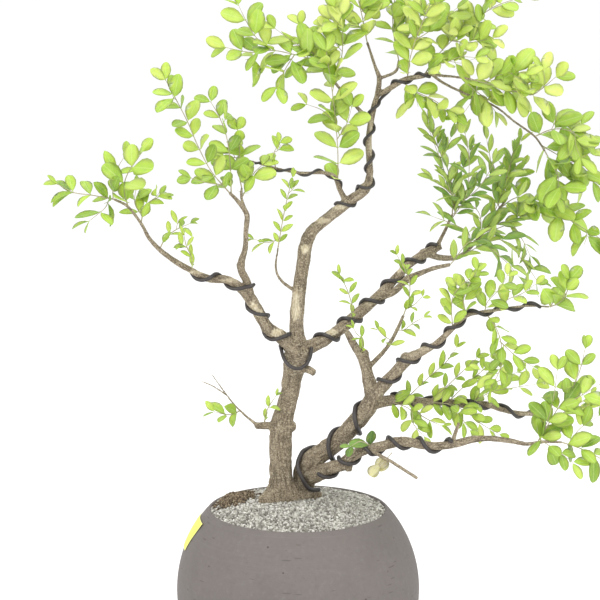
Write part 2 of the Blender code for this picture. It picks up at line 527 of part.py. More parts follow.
def build_label():
    """A blank paper label that follows the globe's surface."""
    columns, rows = 8, 5
    layers = []
    for lift in (GAP, GAP + LABEL_THICKNESS):
        radius = POT_RADIUS + lift
        grid = []
        for j in range(rows + 1):
            latitude = LABEL_LATITUDE + (j / rows - 0.5) * LABEL_HEIGHT / POT_RADIUS
            line = []
            for i in range(columns + 1):
                across = (i / columns - 0.5) * LABEL_WIDTH / (POT_RADIUS * math.cos(latitude))
                azimuth = LABEL_AZIMUTH + across
                line.append(Vector((radius * math.cos(latitude) * math.cos(azimuth),
                                    radius * math.cos(latitude) * math.sin(azimuth),
                                    POT_CENTRE + radius * math.sin(latitude))))
            grid.append(line)
        layers.append(grid)
    vertices = [p for grid in layers for line in grid for p in line]
    layer = (rows + 1) * (columns + 1)

    def at(k, j, i):
        return k * layer + j * (columns + 1) + i

    faces = []
    for j in range(rows):
        for i in range(columns):
            for k in (0, 1):
                faces.append((at(k, j, i), at(k, j, i + 1), at(k, j + 1, i + 1), at(k, j + 1, i)))
    for i in range(columns):
        for j in (0, rows):
            faces.append((at(0, j, i), at(0, j, i + 1), at(1, j, i + 1), at(1, j, i)))
    for j in range(rows):
        for i in (0, columns):
            faces.append((at(0, j, i), at(0, j + 1, i), at(1, j + 1, i), at(1, j, i)))
    return piece("label", vertices, faces, "paper")


# ---------------------------------------------------------------- routes

def placed(point):
    """A drawn point in the part's own frame."""
    return Vector((point[0] * MM * SCALE, point[1] * MM * SCALE, RIM + point[2] * MM * SCALE))


def smooth_route(points, values, step):
    """Points and values at even steps along a smooth curve through the given ones."""
    extended = [points[0] * 2 - points[1]] + points + [points[-1] * 2 - points[-2]]
    fine, carried = [], []
    for k in range(len(points) - 1):
        p0, p1, p2, p3 = extended[k:k + 4]
        parts = max(2, round((p2 - p1).length / (step / 4)))
        for j in range(parts):
            t = j / parts
            fine.append(0.5 * (2 * p1 + (p2 - p0) * t + (2 * p0 - 5 * p1 + 4 * p2 - p3) * t * t
                               + (3 * p1 - p0 - 3 * p2 + p3) * t ** 3))
            carried.append(values[k] + (values[k + 1] - values[k]) * t)
    fine.append(points[-1])
    carried.append(values[-1])
    return resampled(fine, carried, step)


def resampled(points, values, step):
    """The same line with points at even steps."""
    lengths = [0.0]
    for a, b in zip(points, points[1:]):
        lengths.append(lengths[-1] + (b - a).length)
    count = max(1, round(lengths[-1] / step))
    out, carried = [], []
    k = 0
    for j in range(count + 1):
        want = lengths[-1] * j / count
        while k < len(lengths) - 2 and lengths[k + 1] < want:
            k += 1
        share = (want - lengths[k]) / max(lengths[k + 1] - lengths[k], 1e-9)
        out.append(points[k].lerp(points[k + 1], share))
        carried.append(values[k] + (values[k + 1] - values[k]) * share)
    return out, carried


def frames(points):
    """Direction and two crosswise axes at each point, carried along without twist."""
    found = []
    across = None
    for k in range(len(points)):
        ahead = (points[min(k + 1, len(points) - 1)] - points[max(k - 1, 0)]).normalized()
        if across is None:
            across = ahead.cross(Vector((0, 1, 0)))
            if across.length < 0.1:
                across = ahead.cross(Vector((1, 0, 0)))
        across = (across - ahead * across.dot(ahead)).normalized()
        found.append((ahead, across, ahead.cross(across)))
    return found


# ---------------------------------------------------------------- wood

def tube(points, diameters, sides):
    """A closed tapered tube."""
    rings = []
    for centre, width, (_, u, v) in zip(points, diameters, frames(points)):
        rings.append([centre + (u * math.cos(2 * math.pi * k / sides) + v * math.sin(2 * math.pi * k / sides))
                      * (width / 2) for k in range(sides)])
    return stacked(rings, points[0], points[-1])


def nearest_on(route, point):
    """The place on a route closest to a point."""
    best = None
    for a, b in zip(route, route[1:]):
        place, share = intersect_point_line(point, a, b)
        place = a if share < 0 else b if share > 1 else place
        if best is None or (place - point).length < (best - point).length:
            best = place
    return best


def limb_routes():
    """The centre line and diameters of every limb, each one starting on its parent's centre line."""
    routes = {}
    for name, (parent, drawn) in LIMBS.items():
        points = [placed(p) for p in drawn]
        widths = [p[3] * MM * GIRTH * SCALE for p in drawn]
        if parent:
            points[0] = nearest_on(routes[parent][0], points[0])
        thickest = max(widths)
        routes[name] = smooth_route(points, widths, min(max(1.5 * thickest, 13 * MM), 20 * MM))
    return routes


def limb_sides(width):
    """How many sides a limb's tube has."""
    if width > 14 * MM:
        return 10
    if width > 7 * MM:
        return 8
    return 6 if width > 4.5 * MM else 5


def root_flare():
    """The collar of roots: straight walls in the grit, then a flare that narrows into the trunk."""
    trunk = placed(LIMBS["trunk"][1][2])
    radius = LIMBS["trunk"][1][2][3] / 2 * MM * GIRTH * SCALE
    surface = RIM + MOUND + 1 * MM
    rings = [collar(0, RIM - ROOT_DEPTH), collar(0, surface)]
    for share in (0.2, 0.45, 0.75, 1.0):
        height = surface + (RIM + FLARE_HEIGHT * SCALE - surface) * share
        ease = (1 - share) ** 1.8
        ring = []
        for k, p in enumerate(collar(0, height)):
            angle = 2 * math.pi * k / ROUND_SIDES
            slim = Vector((trunk.x + radius * math.cos(angle), trunk.y + radius * math.sin(angle), height))
            ring.append(slim.lerp(p, ease))
        rings.append(ring)
    bottom = Vector((COLLAR_CENTRE[0] * SCALE, COLLAR_CENTRE[1] * SCALE, RIM - ROOT_DEPTH))
    top = Vector((trunk.x, trunk.y, RIM + FLARE_HEIGHT * SCALE))
    return stacked(rings, bottom, top)


def knob(point):
    """A low-sided ball on the wood."""
    centre = placed(point)
    radius = point[3] / 2 * MM * GIRTH * SCALE
    sides = 7
    rings = []
    for angle in (-50, 0, 50):
        level = math.radians(angle)
        rings.append([centre + radius * Vector((math.cos(level) * math.cos(2 * math.pi * k / sides),
                                                math.cos(level) * math.sin(2 * math.pi * k / sides),
                                                math.sin(level))) for k in range(sides)])
    return stacked(rings, centre - Vector((0, 0, radius)), centre + Vector((0, 0, radius)))


def build_wood(routes):
    """Trunk, limbs and twigs as the one piece of wood that they are."""
    wood = piece("trunk_and_limbs", *root_flare(), "bark")
    for name, (points, widths) in routes.items():
        sides = limb_sides(max(widths))
        boolean(wood, cutter(piece(f"limb_{name}", *tube(points, widths, sides), "bark")), "UNION")
    for k, point in enumerate(KNOBS):
        boolean(wood, cutter(piece(f"knob_{k + 1}", *knob(point), "bark")), "UNION")
    return wood


# ---------------------------------------------------------------- room between pieces

class Room:
    """The solids already in place, which later ones keep clear of."""

    def __init__(self):
        self.solids = []
        self.thick = []

    def add(self, vertices, faces, thick=True):
        self.solids.append(BVHTree.FromPolygons(vertices, faces))
        self.thick.append(thick)

    def distance(self, point):
        """Distance to the nearest surface, negative inside a thick solid."""
        best = math.inf
        for solid, thick in zip(self.solids, self.thick):
            place, normal, _, away = solid.find_nearest(point)
            inside = thick and (point - place).dot(normal) < -0.3 * away
            best = min(best, -away if inside else away)
        return best

    def hits(self, tree):
        return any(solid.overlap(tree) for solid in self.solids)


# ---------------------------------------------------------------- wires

def wire_points(routes, start, windings, room, radius):
    """The wire's centre line: its start, then its turns around the limbs, lying on their surface."""
    points = [placed(p) for p in start]
    outward = [Vector((0, -1, 0)) for _ in start]
    for limb, begin, end, turns, angle in windings:
        line, widths = smooth_route(*routes[limb], 2 * MM)
        axes = frames(line)
        steps = max(3, round(abs(turns) * WIRE_STEPS))
        for k in range(steps + 1):
            share = begin + (end - begin) * k / steps
            place = share * (len(line) - 1)
            low = min(int(place), len(line) - 2)
            centre = line[low].lerp(line[low + 1], place - low)
            _, u, v = axes[low]
            turn = math.radians(angle) + 2 * math.pi * turns * k / steps
            out = u * math.cos(turn) + v * math.sin(turn)
            points.append(centre + out * (widths[low] / 2 + radius + GAP))
            outward.append(out)
    return lifted(points, outward, room, radius)


def lifted(points, outward, room, radius):
    """The same line moved outwards until the whole wire is clear of every solid."""
    need = radius + GAP
    step = 0.2 * MM
    lift = [0.0] * len(points)
    for _ in range(80):
        moved = [p + out * amount for p, out, amount in zip(points, outward, lift)]
        vertices, _ = tube(moved, [2 * need] * len(moved), WIRE_SIDES)
        blocked = set()
        for k in range(len(moved) - 1):
            rings = vertices[1 + k * WIRE_SIDES:1 + (k + 2) * WIRE_SIDES]
            stretch = stacked([rings[:WIRE_SIDES], rings[WIRE_SIDES:]], moved[k], moved[k + 1])
            middle = moved[k].lerp(moved[k + 1], 0.5)
            near = min(room.distance(p) for p in (moved[k], middle, moved[k + 1]))
            if near < need or room.hits(BVHTree.FromPolygons(*stretch)):
                blocked.update((k, k + 1))
        if not blocked:
            break
        for k in blocked:
            lift[k] += step
        last = len(lift) - 1
        lift = [max(lift[k], 0.35 * (lift[max(k - 1, 0)] + lift[min(k + 1, last)])) for k in range(last + 1)]
    return moved


def build_wires(routes, room):
    """Every training wire, each clear of the wood and of the wires before it."""
    for name, (width, start, windings) in WIRES.items():
        radius = width / 2 * MM
        points = wire_points(routes, start, windings, room, radius)
        vertices, faces = tube(points, [width * MM] * len(points), WIRE_SIDES)
        room.add(*surface(piece(name, vertices, faces, "wire").data))


# ---------------------------------------------------------------- leafy twigs

CORNERS = ((1, 1), (-1, 1), (-1, -1), (1, -1))
TRIES = 20                      # arrangements of leaves tried for each twig
NODE_STEPS = max(2, round(NODE_LENGTH / MM))    # twig routes have a point every millimetre


def square(centre, u, v, across, thick):
    """Four corners around a point."""
    return [centre + u * (a * across) + v * (b * thick) for a, b in CORNERS]


def sleeve(lower, upper):
    """Triangles between two rings of four corners, split the same way on opposite sides."""
    faces = []
    for k in range(4):
        n = (k + 1) % 4
        if k < 2:
            faces += [(lower[k], lower[n], upper[n]), (lower[k], upper[n], upper[k])]
        else:
            faces += [(lower[k], lower[n], upper[k]), (lower[n], upper[n], upper[k])]
    return faces


def box_tree(rings, tip=None):
    """A surface for overlap tests through these squares, ending in a tip if one is given."""
    vertices = [p for ring in rings for p in ring]
    last = len(vertices) - 4
    faces = [(0, 1, 2, 3), tuple(range(last, last + 4))]
    for a in range(0, last, 4):
        faces += sleeve([a, a + 1, a + 2, a + 3], [a + 4, a + 5, a + 6, a + 7])
    if tip is not None:
        vertices.append(tip)
        faces += [(last + k, last + (k + 1) % 4, last + 4) for k in range(4)]
    return BVHTree.FromPolygons(vertices, faces)


class Growth:
    """One leafy twig with its leaves and side twigs, grown as a single closed body."""

    def __init__(self, kind, room, seed):
        self.length, self.width = (size * MM * LEAF_SIZE for size in LEAVES[kind])
        self.room = room
        self.chance = random.Random(seed)
        self.vertices = []
        self.faces = []
        self.own = []

    def ring(self, centre, axes, half):
        """Adds four corners of the twig around a point."""
        return self.add(square(centre, axes[1], axes[2], half, half))

    def add(self, points):
        first = len(self.vertices)
        self.vertices += points
        return [first + k for k in range(len(points))]

    def middle_of(self, corners):
        return sum((self.vertices[k] for k in corners), Vector()) / len(corners)

    def runs_left(self, ring, direction):
        """Whether a ring's corners run anticlockwise, seen against this direction."""
        a, b, c, d = (self.vertices[k] for k in ring)
        return (c - a).cross(d - b).dot(direction) > 0

    def matched(self, lower, upper):
        """The upper ring's corners in the order that lies least twisted over the lower ring's."""
        direction = self.middle_of(upper) - self.middle_of(lower)
        if self.runs_left(lower, direction) != self.runs_left(upper, direction):
            upper = upper[::-1]
        return min((upper[shift:] + upper[:shift] for shift in range(4)), key=lambda ring: sum(
            (self.vertices[a] - self.vertices[b]).length for a, b in zip(lower, ring)))

    def bridge(self, lower, upper):
        """Joins two rings of four corners."""
        upper = self.matched(lower, upper)
        self.faces += sleeve(lower, upper)
        return upper

    def blocked(self, tree):
        return self.room.hits(tree) or any(other.overlap(tree) for other in self.own)

    def leaf(self, base, ahead, side, scale):
        """Grows a leaf from four corners, if there is room for it."""
        middle = self.middle_of(base)
        lean = math.radians(self.chance.uniform(*LEAF_LEAN))
        along = (ahead * math.cos(lean) + side * math.sin(lean)).normalized()
        light = Vector((self.chance.uniform(-0.5, 0.5), -0.75, self.chance.uniform(0.3, 1.0)))
        flat = (light - along * light.dot(along)).normalized()
        across = along.cross(flat)
        length = self.length * scale * self.chance.uniform(0.85, 1.1)
        half = self.width * scale * self.chance.uniform(0.9, 1.08) / 2
        belly = middle + along * length * LEAF_BELLY
        tip = middle + along * length - flat * length * LEAF_DROOP
        thick = LEAF_THICKNESS / 2
        upper = self.matched(base, self.add(square(belly, across, flat, half, thick)))
        corners = [self.vertices[k] for k in base]
        wide = [self.vertices[k] + (self.vertices[k] - belly).normalized() * GAP for k in upper]
        tree = box_tree([[a.lerp(b, LEAF_CLEAR_FROM) for a, b in zip(corners, wide)], wide], tip + along * GAP)
        if self.blocked(tree):
            del self.vertices[-4:]
            return False
        self.own.append(tree)
        self.faces += sleeve(base, upper)
        point, = self.add([tip])
        for k in range(4):
            self.faces.append((upper[k], upper[(k + 1) % 4], point))
        return True

    def twig(self, points, pairs, sides=(), base=None, thickness=TWIG_THICKNESS):
        """Grows a twig along a route: leaf pairs at even steps, and side twigs where they are drawn."""
        line, _ = smooth_route(points, [0.0] * len(points), MM)
        half = thickness / 2
        line, axes = self.free_stretch(line, half, base is None)
        last = len(line) - 1
        slim = [half * (1 - TWIG_TAPER * k / last) for k in range(last + 1)]
        pairs = max(1, min(pairs, (last - 2) // (NODE_STEPS + 2)))
        ring = self.ring(line[0], axes[0], half)
        if base is None:
            self.faces.append(tuple(ring))
        else:
            ring = self.bridge(base, ring)
        nodes = []
        reached = 0
        for number in range(pairs):
            start = max(round((number + 1) * (last - NODE_STEPS) / pairs), 1)
            end = min(start + NODE_STEPS, last)
            for k in self.bends(line, reached, start):
                ring = self.bridge(ring, self.ring(line[k], axes[k], slim[k]))
            lower = self.bridge(ring, self.ring(line[start], axes[start], slim[start]))
            ring = self.matched(lower, self.ring(line[end], axes[end], slim[start]))
            nodes.append((number, start, lower, ring))
            reached = end
        chosen = {}
        for pairs_beside, route in sides:
            route = [placed(p) for p in route]
            chosen[self.best_spot(route, nodes, line)] = (pairs_beside, route)
        self.own.append(self.guard_of(line, half))
        for number, start, lower, upper in nodes:
            self.dress(number, len(nodes), axes[start][0], lower, upper, chosen)
        if not self.leaf(ring, axes[last][0], axes[last][0], LAST_LEAF):
            self.faces.append(tuple(ring))

    def bends(self, line, first, last):
        """Where a stretch needs more rings, so that it doesn't cut the corners of its route."""
        if last - first < 3:
            return []
        away = [(intersect_point_line(line[k], line[first], line[last])[0] - line[k]).length
                for k in range(first + 1, last)]
        widest = max(away)
        if widest < BEND_TOLERANCE:
            return []
        middle = first + 1 + away.index(widest)
        return self.bends(line, first, middle) + [middle] + self.bends(line, middle, last)

    def guard_of(self, line, half):
        """The space that a twig takes, kept free of its own later leaves."""
        core = line[2::4] if len(line) > 8 else [line[0], line[-1]]
        return BVHTree.FromPolygons(*tube(core, [1.2 * half] * len(core), 4))

    def best_spot(self, route, nodes, line):
        """The pair of leaves that gives its place to a side twig, and the side it leaves from."""
        number, start, lower, upper = min(nodes, key=lambda node: (line[node[1]] - route[0]).length)
        away = (route[1] - line[start]).normalized()
        outwards = self.outwards(lower, upper)
        return number, max(range(4), key=lambda k: outwards[k].dot(away))

    def side_corners(self, lower, upper, k):
        n = (k + 1) % 4
        return [lower[k], lower[n], upper[n], upper[k]]

    def outwards(self, lower, upper):
        """The direction in which each of a node's four sides faces."""
        middle = self.middle_of(lower + upper)
        return [(self.middle_of(self.side_corners(lower, upper, k)) - middle).normalized() for k in range(4)]

    def dress(self, number, count, ahead, lower, upper, chosen):
        """Grows what stands on one pair's four sides, and closes the sides that stay bare."""
        middle = self.middle_of(lower + upper)
        outwards = self.outwards(lower, upper)
        facing = sorted(range(4), key=lambda k: abs(outwards[k].y))
        leafy = facing[2:] if number % 3 == 2 else facing[:2]
        scale = 0.72 + 0.28 * math.sin(math.pi * (number + 1) / (count + 1))
        for k in range(4):
            base = self.side_corners(lower, upper, k)
            if (number, k) in chosen:
                pairs, route = chosen[(number, k)]
                route = [middle + outwards[k] * 2 * MM] + route[1:]
                self.twig(route, pairs, base=base, thickness=SIDE_TWIG * TWIG_THICKNESS)
            elif k not in leafy or not self.leaf(base, ahead, outwards[k], scale):
                self.faces.append(tuple(base))

    def free_stretch(self, line, half, rooted):
        """The part of a route from where it is clear of the wood to where something else stops it."""
        axes = frames(line)
        start = 0
        while rooted and start < len(line) - 12:
            corners = square(line[start], axes[start][1], axes[start][2], half, half)
            if all(self.room.distance(c) > GAP for c in corners):
                break
            start += 1
        end = start
        wide = half + 0.5 * GAP
        while end < len(line) - 1:
            if self.room.hits(box_tree([square(line[k], axes[k][1], axes[k][2], wide, wide)
                                        for k in (end, end + 1)])):
                break
            end += 1
        end = max(end - 1, min(start + 8, len(line) - 1))
        return line[start:end + 1], axes[start:end + 1]


def crosses_itself(vertices, faces):
    """Whether faces that share no corner cross each other."""
    tree = BVHTree.FromPolygons(vertices, faces)
    return any(not set(faces[a]) & set(faces[b]) for a, b in tree.overlap(tree))


def grown(drawn, room, seed):
    """A leafy twig that doesn't cross itself: the first of a few tries, or the last of them."""
    for attempt in range(TRIES):
        growth = Growth(drawn["kind"], room, seed + attempt)
        growth.twig([placed(p) for p in drawn["main"]], drawn["pairs"], drawn["sides"])
        if not crosses_itself(growth.vertices, growth.faces):
            break
    return growth


def build_sprays(room):
    """Every leafy twig, each clear of the wood, the wires and the twigs before it."""
    finishes = {"shade": "shade_leaf", "dark": "shade_leaf", "dry": "dry_leaf"}
    for number, (name, drawn) in enumerate(SPRAYS.items()):
        growth = grown(drawn, room, TRIES * number)
        finish = finishes.get(drawn["kind"], "leaf")
        made = piece(f"twig_{name}", growth.vertices, growth.faces, finish)
        room.add(*surface(made.data), thick=False)


def main():
    for old in list(bpy.data.objects):
        bpy.data.objects.remove(old, do_unlink=True)
    routes = limb_routes()
    still = [build_pot(), build_net(), build_soil(), build_grit(), build_moss(), build_label()]
    wood = build_wood(routes)
    room = Room()
    for made in still + [wood]:
        room.add(*evaluated(made))
    build_wires(routes, room)
    build_sprays(room)


main()
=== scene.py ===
"""Looks of a bonsai tree in a round pot: bark, leaves, training wire, gravel, moss, label and unglazed clay.

Everything is in metres in the frame's own axes: +Z up, the tree's front towards -Y, the pot's foot at the
origin. Routes of wood and twigs are drawn in millimetres from the pot's axis, with heights above its rim.
"""
import json
import random
from math import asin, cos, hypot, pi, radians, sin, sqrt

import bmesh
import bpy
from mathutils import Matrix, Vector, noise
from mathutils.bvhtree import BVHTree
from mathutils.kdtree import KDTree

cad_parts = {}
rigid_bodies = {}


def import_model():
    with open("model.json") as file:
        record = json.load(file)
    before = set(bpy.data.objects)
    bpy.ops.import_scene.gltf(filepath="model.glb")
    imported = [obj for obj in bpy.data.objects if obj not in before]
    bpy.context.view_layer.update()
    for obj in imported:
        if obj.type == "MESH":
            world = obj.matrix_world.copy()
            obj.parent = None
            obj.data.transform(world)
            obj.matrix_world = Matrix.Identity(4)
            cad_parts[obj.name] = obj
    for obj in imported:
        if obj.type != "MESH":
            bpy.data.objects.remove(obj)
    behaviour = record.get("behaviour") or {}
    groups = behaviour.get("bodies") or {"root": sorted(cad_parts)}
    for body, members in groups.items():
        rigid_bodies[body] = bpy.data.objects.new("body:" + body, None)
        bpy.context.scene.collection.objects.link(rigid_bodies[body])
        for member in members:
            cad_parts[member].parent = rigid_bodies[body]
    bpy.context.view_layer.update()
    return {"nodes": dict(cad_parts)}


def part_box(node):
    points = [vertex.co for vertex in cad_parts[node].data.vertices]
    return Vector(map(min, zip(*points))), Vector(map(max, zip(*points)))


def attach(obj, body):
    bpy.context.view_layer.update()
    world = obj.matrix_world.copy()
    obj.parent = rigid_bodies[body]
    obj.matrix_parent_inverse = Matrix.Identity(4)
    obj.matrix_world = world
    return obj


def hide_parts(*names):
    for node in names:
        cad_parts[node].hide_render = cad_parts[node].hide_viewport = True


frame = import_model()
MM = 0.001

# The pot, from the frame
POT_LOW, POT_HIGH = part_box("pot")
POT_RADIUS = (POT_HIGH.x - POT_LOW.x) / 2
POT_CENTRE = 90 * MM            # height of the globe's middle
RIM = POT_HIGH.z
MOUTH_RADIUS = (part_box("gravel")[1].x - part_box("gravel")[0].x) / 2 + 0.3 * MM
LIP = 3 * MM
POT_WALL = 7 * MM
POT_FLOOR = 9 * MM
DRAIN_RADIUS = 8 * MM
DRAIN_CIRCLE = 32 * MM
DRAIN_COUNT = 3
DRAIN_SIDES = 32
POT_SIDES = 144
THROWING_WOBBLE = 0.22 * MM     # how uneven the potter's wheel left it

# The gravel's mound and the root collar in it
GRIT_BELOW_RIM = 1 * MM
MOUND = 9 * MM
STONE_SPACING = 1.75 * MM
STONE_SIZE = 2.9 * MM
GRAIN_SHAPES = 10               # stones that differ in shape
FULL_TURN = 6.283               # radians
COLLAR_CENTRE = (-8 * MM, 11 * MM)
COLLAR_LENGTH = 29 * MM
COLLAR_DEPTH = 15.5 * MM
COLLAR_TURN = radians(20)
COLLAR_SIDES = 72
COLLAR_FOOT = 22 * MM           # how far the visible wood reaches below the rim
FLARE_HEIGHT = 26 * MM

MOSS_AZIMUTH = radians(161)
MOSS_BREADTH = 15 * MM
MOSS_LENGTH = 22 * MM
MOSS_OUTWARDS = 8               # millimetres from the middle of its CAD solid
MOSS_SIDES = 56
MOSS_RINGS = 12
CRUMB_SPACING = 1.0 * MM
CRUMB_SIZE = 1.7 * MM
LOOSE_TUFTS = 34
TUFT_SIDES = 7

# Seeds of the random draws
STONE_SEED = 5
CRUMB_SEED = 6
TUFT_SEED = 7
TWIG_SEED = 31

LABEL_WIDTH = 44 * MM
LABEL_HEIGHT = 31 * MM
LABEL_THICK = 0.35 * MM
LABEL_GAP = 0.3 * MM            # the glue between paper and clay
LABEL_CURL = 0.9 * MM
LABEL_LATITUDE = radians(29)
LABEL_AZIMUTH = radians(178)
LABEL_SKEW = radians(5)         # its top edge is turned a little further to the front
LABEL_COLUMNS = 36
LABEL_ROWS = 26

WOOD_VOXEL = 0.95 * MM
WOOD_SIDES = 16
ROUTE_STEP = 2.5 * MM
ROOT_RIDGES = 7
ROOT_RIDGE = 0.07               # their height as a share of the flare's breadth
FURROW_SHARE = 0.085            # how deep the bark is furrowed as a share of the limb's diameter, and at most
FURROW_DEPTH = 1.3 * MM
WORN_DEPTH = 0.5 * MM           # how far worn places lie below the bark
YOUNG_WIDTH = 4.5 * MM          # wood thinner than this has young bark, more so the thinner it is
YOUNG_FADE = 3 * MM
FOOT_CALM = 4 * MM              # up to this height above the rim, and a fade, the furrows are shallower
FOOT_FADE = 14 * MM

WIRE_SIDES = 14
WIRE_TURN_STEPS = 26            # points on each turn of wire
WIRE_STEP = 1.2 * MM
WIRE_PRESS = 0.9                # least distance from the bark as a share of the wire's radius
WIRE_END = 0.72                 # the snipped ends' share of the wire's radius

STEM_SIDES = 7
STEM_RADIUS = 0.62 * MM
SIDE_STEM_RADIUS = 0.5 * MM
BLADE_SHAPES = 4                # leaves of each kind that differ in fold and curl
BARE_STEM = 5.0                 # millimetres of stem below a twig's first leaves
LEAF_SPREAD = 0.16              # how much leaves of one twig differ in size
LEAN_SPREAD = 0.3               # and in lean, in radians

# A leaf one unit long: places along it, its section as places across and heights, and its stalk's share
BLADE_ROWS = (0.0, 0.07, 0.18, 0.36, 0.56, 0.76, 0.91, 0.98, 1.0)
BLADE_POINTS = ((-1.0, 0.0), (-0.5, 0.006), (0.0, 0.012), (0.0, -0.012), (0.5, 0.006), (1.0, 0.0))
BLADE_UNDERSIDE = 3             # which of the points lies under the midrib
STALK_SHARE, BLADE_SHARE = 0.07, 0.93

# The camera stands a little above the tree's middle and looks slightly down
CAMERA_TARGET = Vector((1.8 * MM, 0, 360 * MM))
CAMERA_DISTANCE = 2.0
CAMERA_ELEVATION = radians(10)
CAMERA_LENS = 132.6
CAMERA_REACH = 60

# Light: the side that the leaves turn to, the lamps and the even light from all round
LIGHT_SIDE = (0.0, -0.75, 0.66)
AIR_LIGHT = 1.0
LAMP_AIM = Vector((0, 0, 0.4))
LAMPS = [
    ("key_lamp", (-1.6, -2.2, 2.6), 1.6, 40.0),
    ("fill_lamp", (2.2, -1.8, 1.8), 1.8, 24.0),
    ("top_lamp", (0.3, 0.6, 3.0), 2.0, 26.0),
]

CLAY = (0.158, 0.139, 0.13)
CLAY_DARK = (0.105, 0.09, 0.083)
CLAY_LIGHT = (0.225, 0.203, 0.19)
# Bark colours; in the ramp by furrow depth the deep and dark ones are partly painted shade in the furrows
BARK_DEEP = (0.07, 0.052, 0.034)
BARK_DARK = (0.15, 0.118, 0.076)
BARK = (0.29, 0.232, 0.155)
BARK_LIGHT = (0.45, 0.385, 0.275)
BARK_FLECK = (0.55, 0.48, 0.35)
YOUNG_BARK = (0.39, 0.325, 0.22)
BARE_WOOD = (0.78, 0.71, 0.53)
BARE_WOOD_DARK = (0.5, 0.42, 0.27)

# Leaves of each kind: blade, length and width in millimetres, millimetres between pairs, degrees of lean, how
# far they turn to the light, tone from dark green to yellow and its spread, fill-in shoots and their length
LEAF_FACTS = ("blade", "length", "width", "every", "lean", "facing", "tone", "spread", "shoots", "shoot")
LEAVES = {
    "crown": ("oval", 22, 13, 11, 56, 0.85, 0.64, 0.3, 2, 22),
    "big": ("oval", 26, 15.5, 13, 56, 0.88, 0.5, 0.25, 1, 22),
    "fresh": ("oval", 19, 11, 15, 56, 0.85, 0.6, 0.3, 1, 16),
    "round": ("round", 18, 13.5, 11, 58, 0.85, 0.5, 0.2, 0, 14),
    "left": ("slim", 17, 8.5, 11, 50, 0.72, 0.3, 0.3, 1, 16),
    "slim": ("slim", 13, 5, 10, 42, 0.6, 0.35, 0.3, 1, 14),
    "shade": ("slim", 21, 6.5, 12, 36, 0.6, 0.82, 0.5, 1, 24),
    "small": ("oval", 14, 7.5, 9, 52, 0.8, 0.5, 0.3, 2, 18),
    "dark": ("oval", 14, 8, 9, 52, 0.8, 0.4, 0.3, 1, 12),
    "dry": ("round", 15, 13, 30, 12, 0.92, 0.6, 0.3, 0, 10),
}

# Twigs that differ from their kind: leaf size, spacing, tone and its spread, fill-in shoots, bare length
LOOKS = {
    "left_end": {"size": 1.2, "every": 12},
    "left_tip": {"size": 1.35, "every": 14, "shoots": 0},
    "rise_long": {"size": 1.1, "every": 14, "tone": 0.42},
    "rise_tall": {"size": 1.05, "tone": 0.35},
    "rise_right": {"size": 1.1, "tone": 0.45},
    "upright": {"size": 1.3, "every": 15, "tone": 0.55, "shoots": 1},
    "high_left": {"size": 1.3, "every": 13, "tone": 0.5},
    "high_up": {"size": 1.2, "every": 13, "shoots": 1},
    "top_left": {"size": 1.1, "every": 13},
    "spray_end": {"size": 1.15, "every": 11},
    "spray_low": {"size": 1.1},
    "crown_low": {"size": 1.05},
    "drop_tip": {"shoots": 3, "tone": 0.4},
    "drop_out": {"shoots": 3},
    "drop_far": {"shoots": 3},
    "drop_arm": {"shoots": 4, "tone": 0.45},
    "mid_end": {"size": 1.3, "every": 13, "tone": 0.45, "shoots": 0},
    "mid_up": {"size": 1.2, "tone": 0.5, "shoots": 0},
    "mid_hang": {"size": 1.3, "tone": 0.5, "shoots": 1},
    "back_out": {"size": 1.2, "shoots": 0, "every": 13},
    "back_up": {"size": 1.2, "tone": 0.35, "shoots": 0, "every": 12},
    "back_down": {"size": 1.2, "tone": 0.55, "shoots": 0},
    "far_up": {"size": 1.15, "tone": 0.32, "every": 13, "shoots": 0},
    "far_end": {"size": 1.15, "tone": 0.35, "every": 12, "shoots": 0},
    "stub_leaves": {"size": 1.2, "tone": 0.3, "shoots": 0, "every": 9, "bare": 3.0},
    "stub_up": {"size": 0.8, "tone": 0.25, "shoots": 0},
    "withered": {"every": 20, "bare": 10.5},
    "front_leaves": {"shoots": 0, "size": 1.3, "every": 12, "tone": 0.2, "spread": 0.2},
}

# Places where the bark is worn to pale wood: middle, half sizes across, deep and up, strength
BARE_PATCHES = [
    (-40, -18, 191, 4.6, 12, 5.5, 1.0), (-35, -15, 185, 4.4, 12, 5.5, 1.0), (-19, -6, 165, 6.5, 12, 4.6, 1.0),
    (-2.5, 0, 189, 4.6, 12, 17, 0.9), (6, 8, 239, 4.4, 12, 4.8, 1.0), (22, 14, 265, 7, 12, 3.0, 0.7),
    (37, 17, 277, 8, 12, 3.0, 0.8), (-91, -32, 225, 9, 10, 2.0, 0.6), (-61, -25, 217, 7, 10, 2.4, 0.6),
    (31, 14, 161, 6, 12, 3.4, 0.9), (93, 38, 216, 7, 12, 3.6, 0.8), (66, 30, 186, 7, 12, 2.2, 0.6),
    (48, -26, 62, 4.0, 12, 4.0, 0.5), (112, -42, 158, 12, 8, 1.8, 0.5), (66, 18, 340, 2.0, 12, 20, 0.5),
]

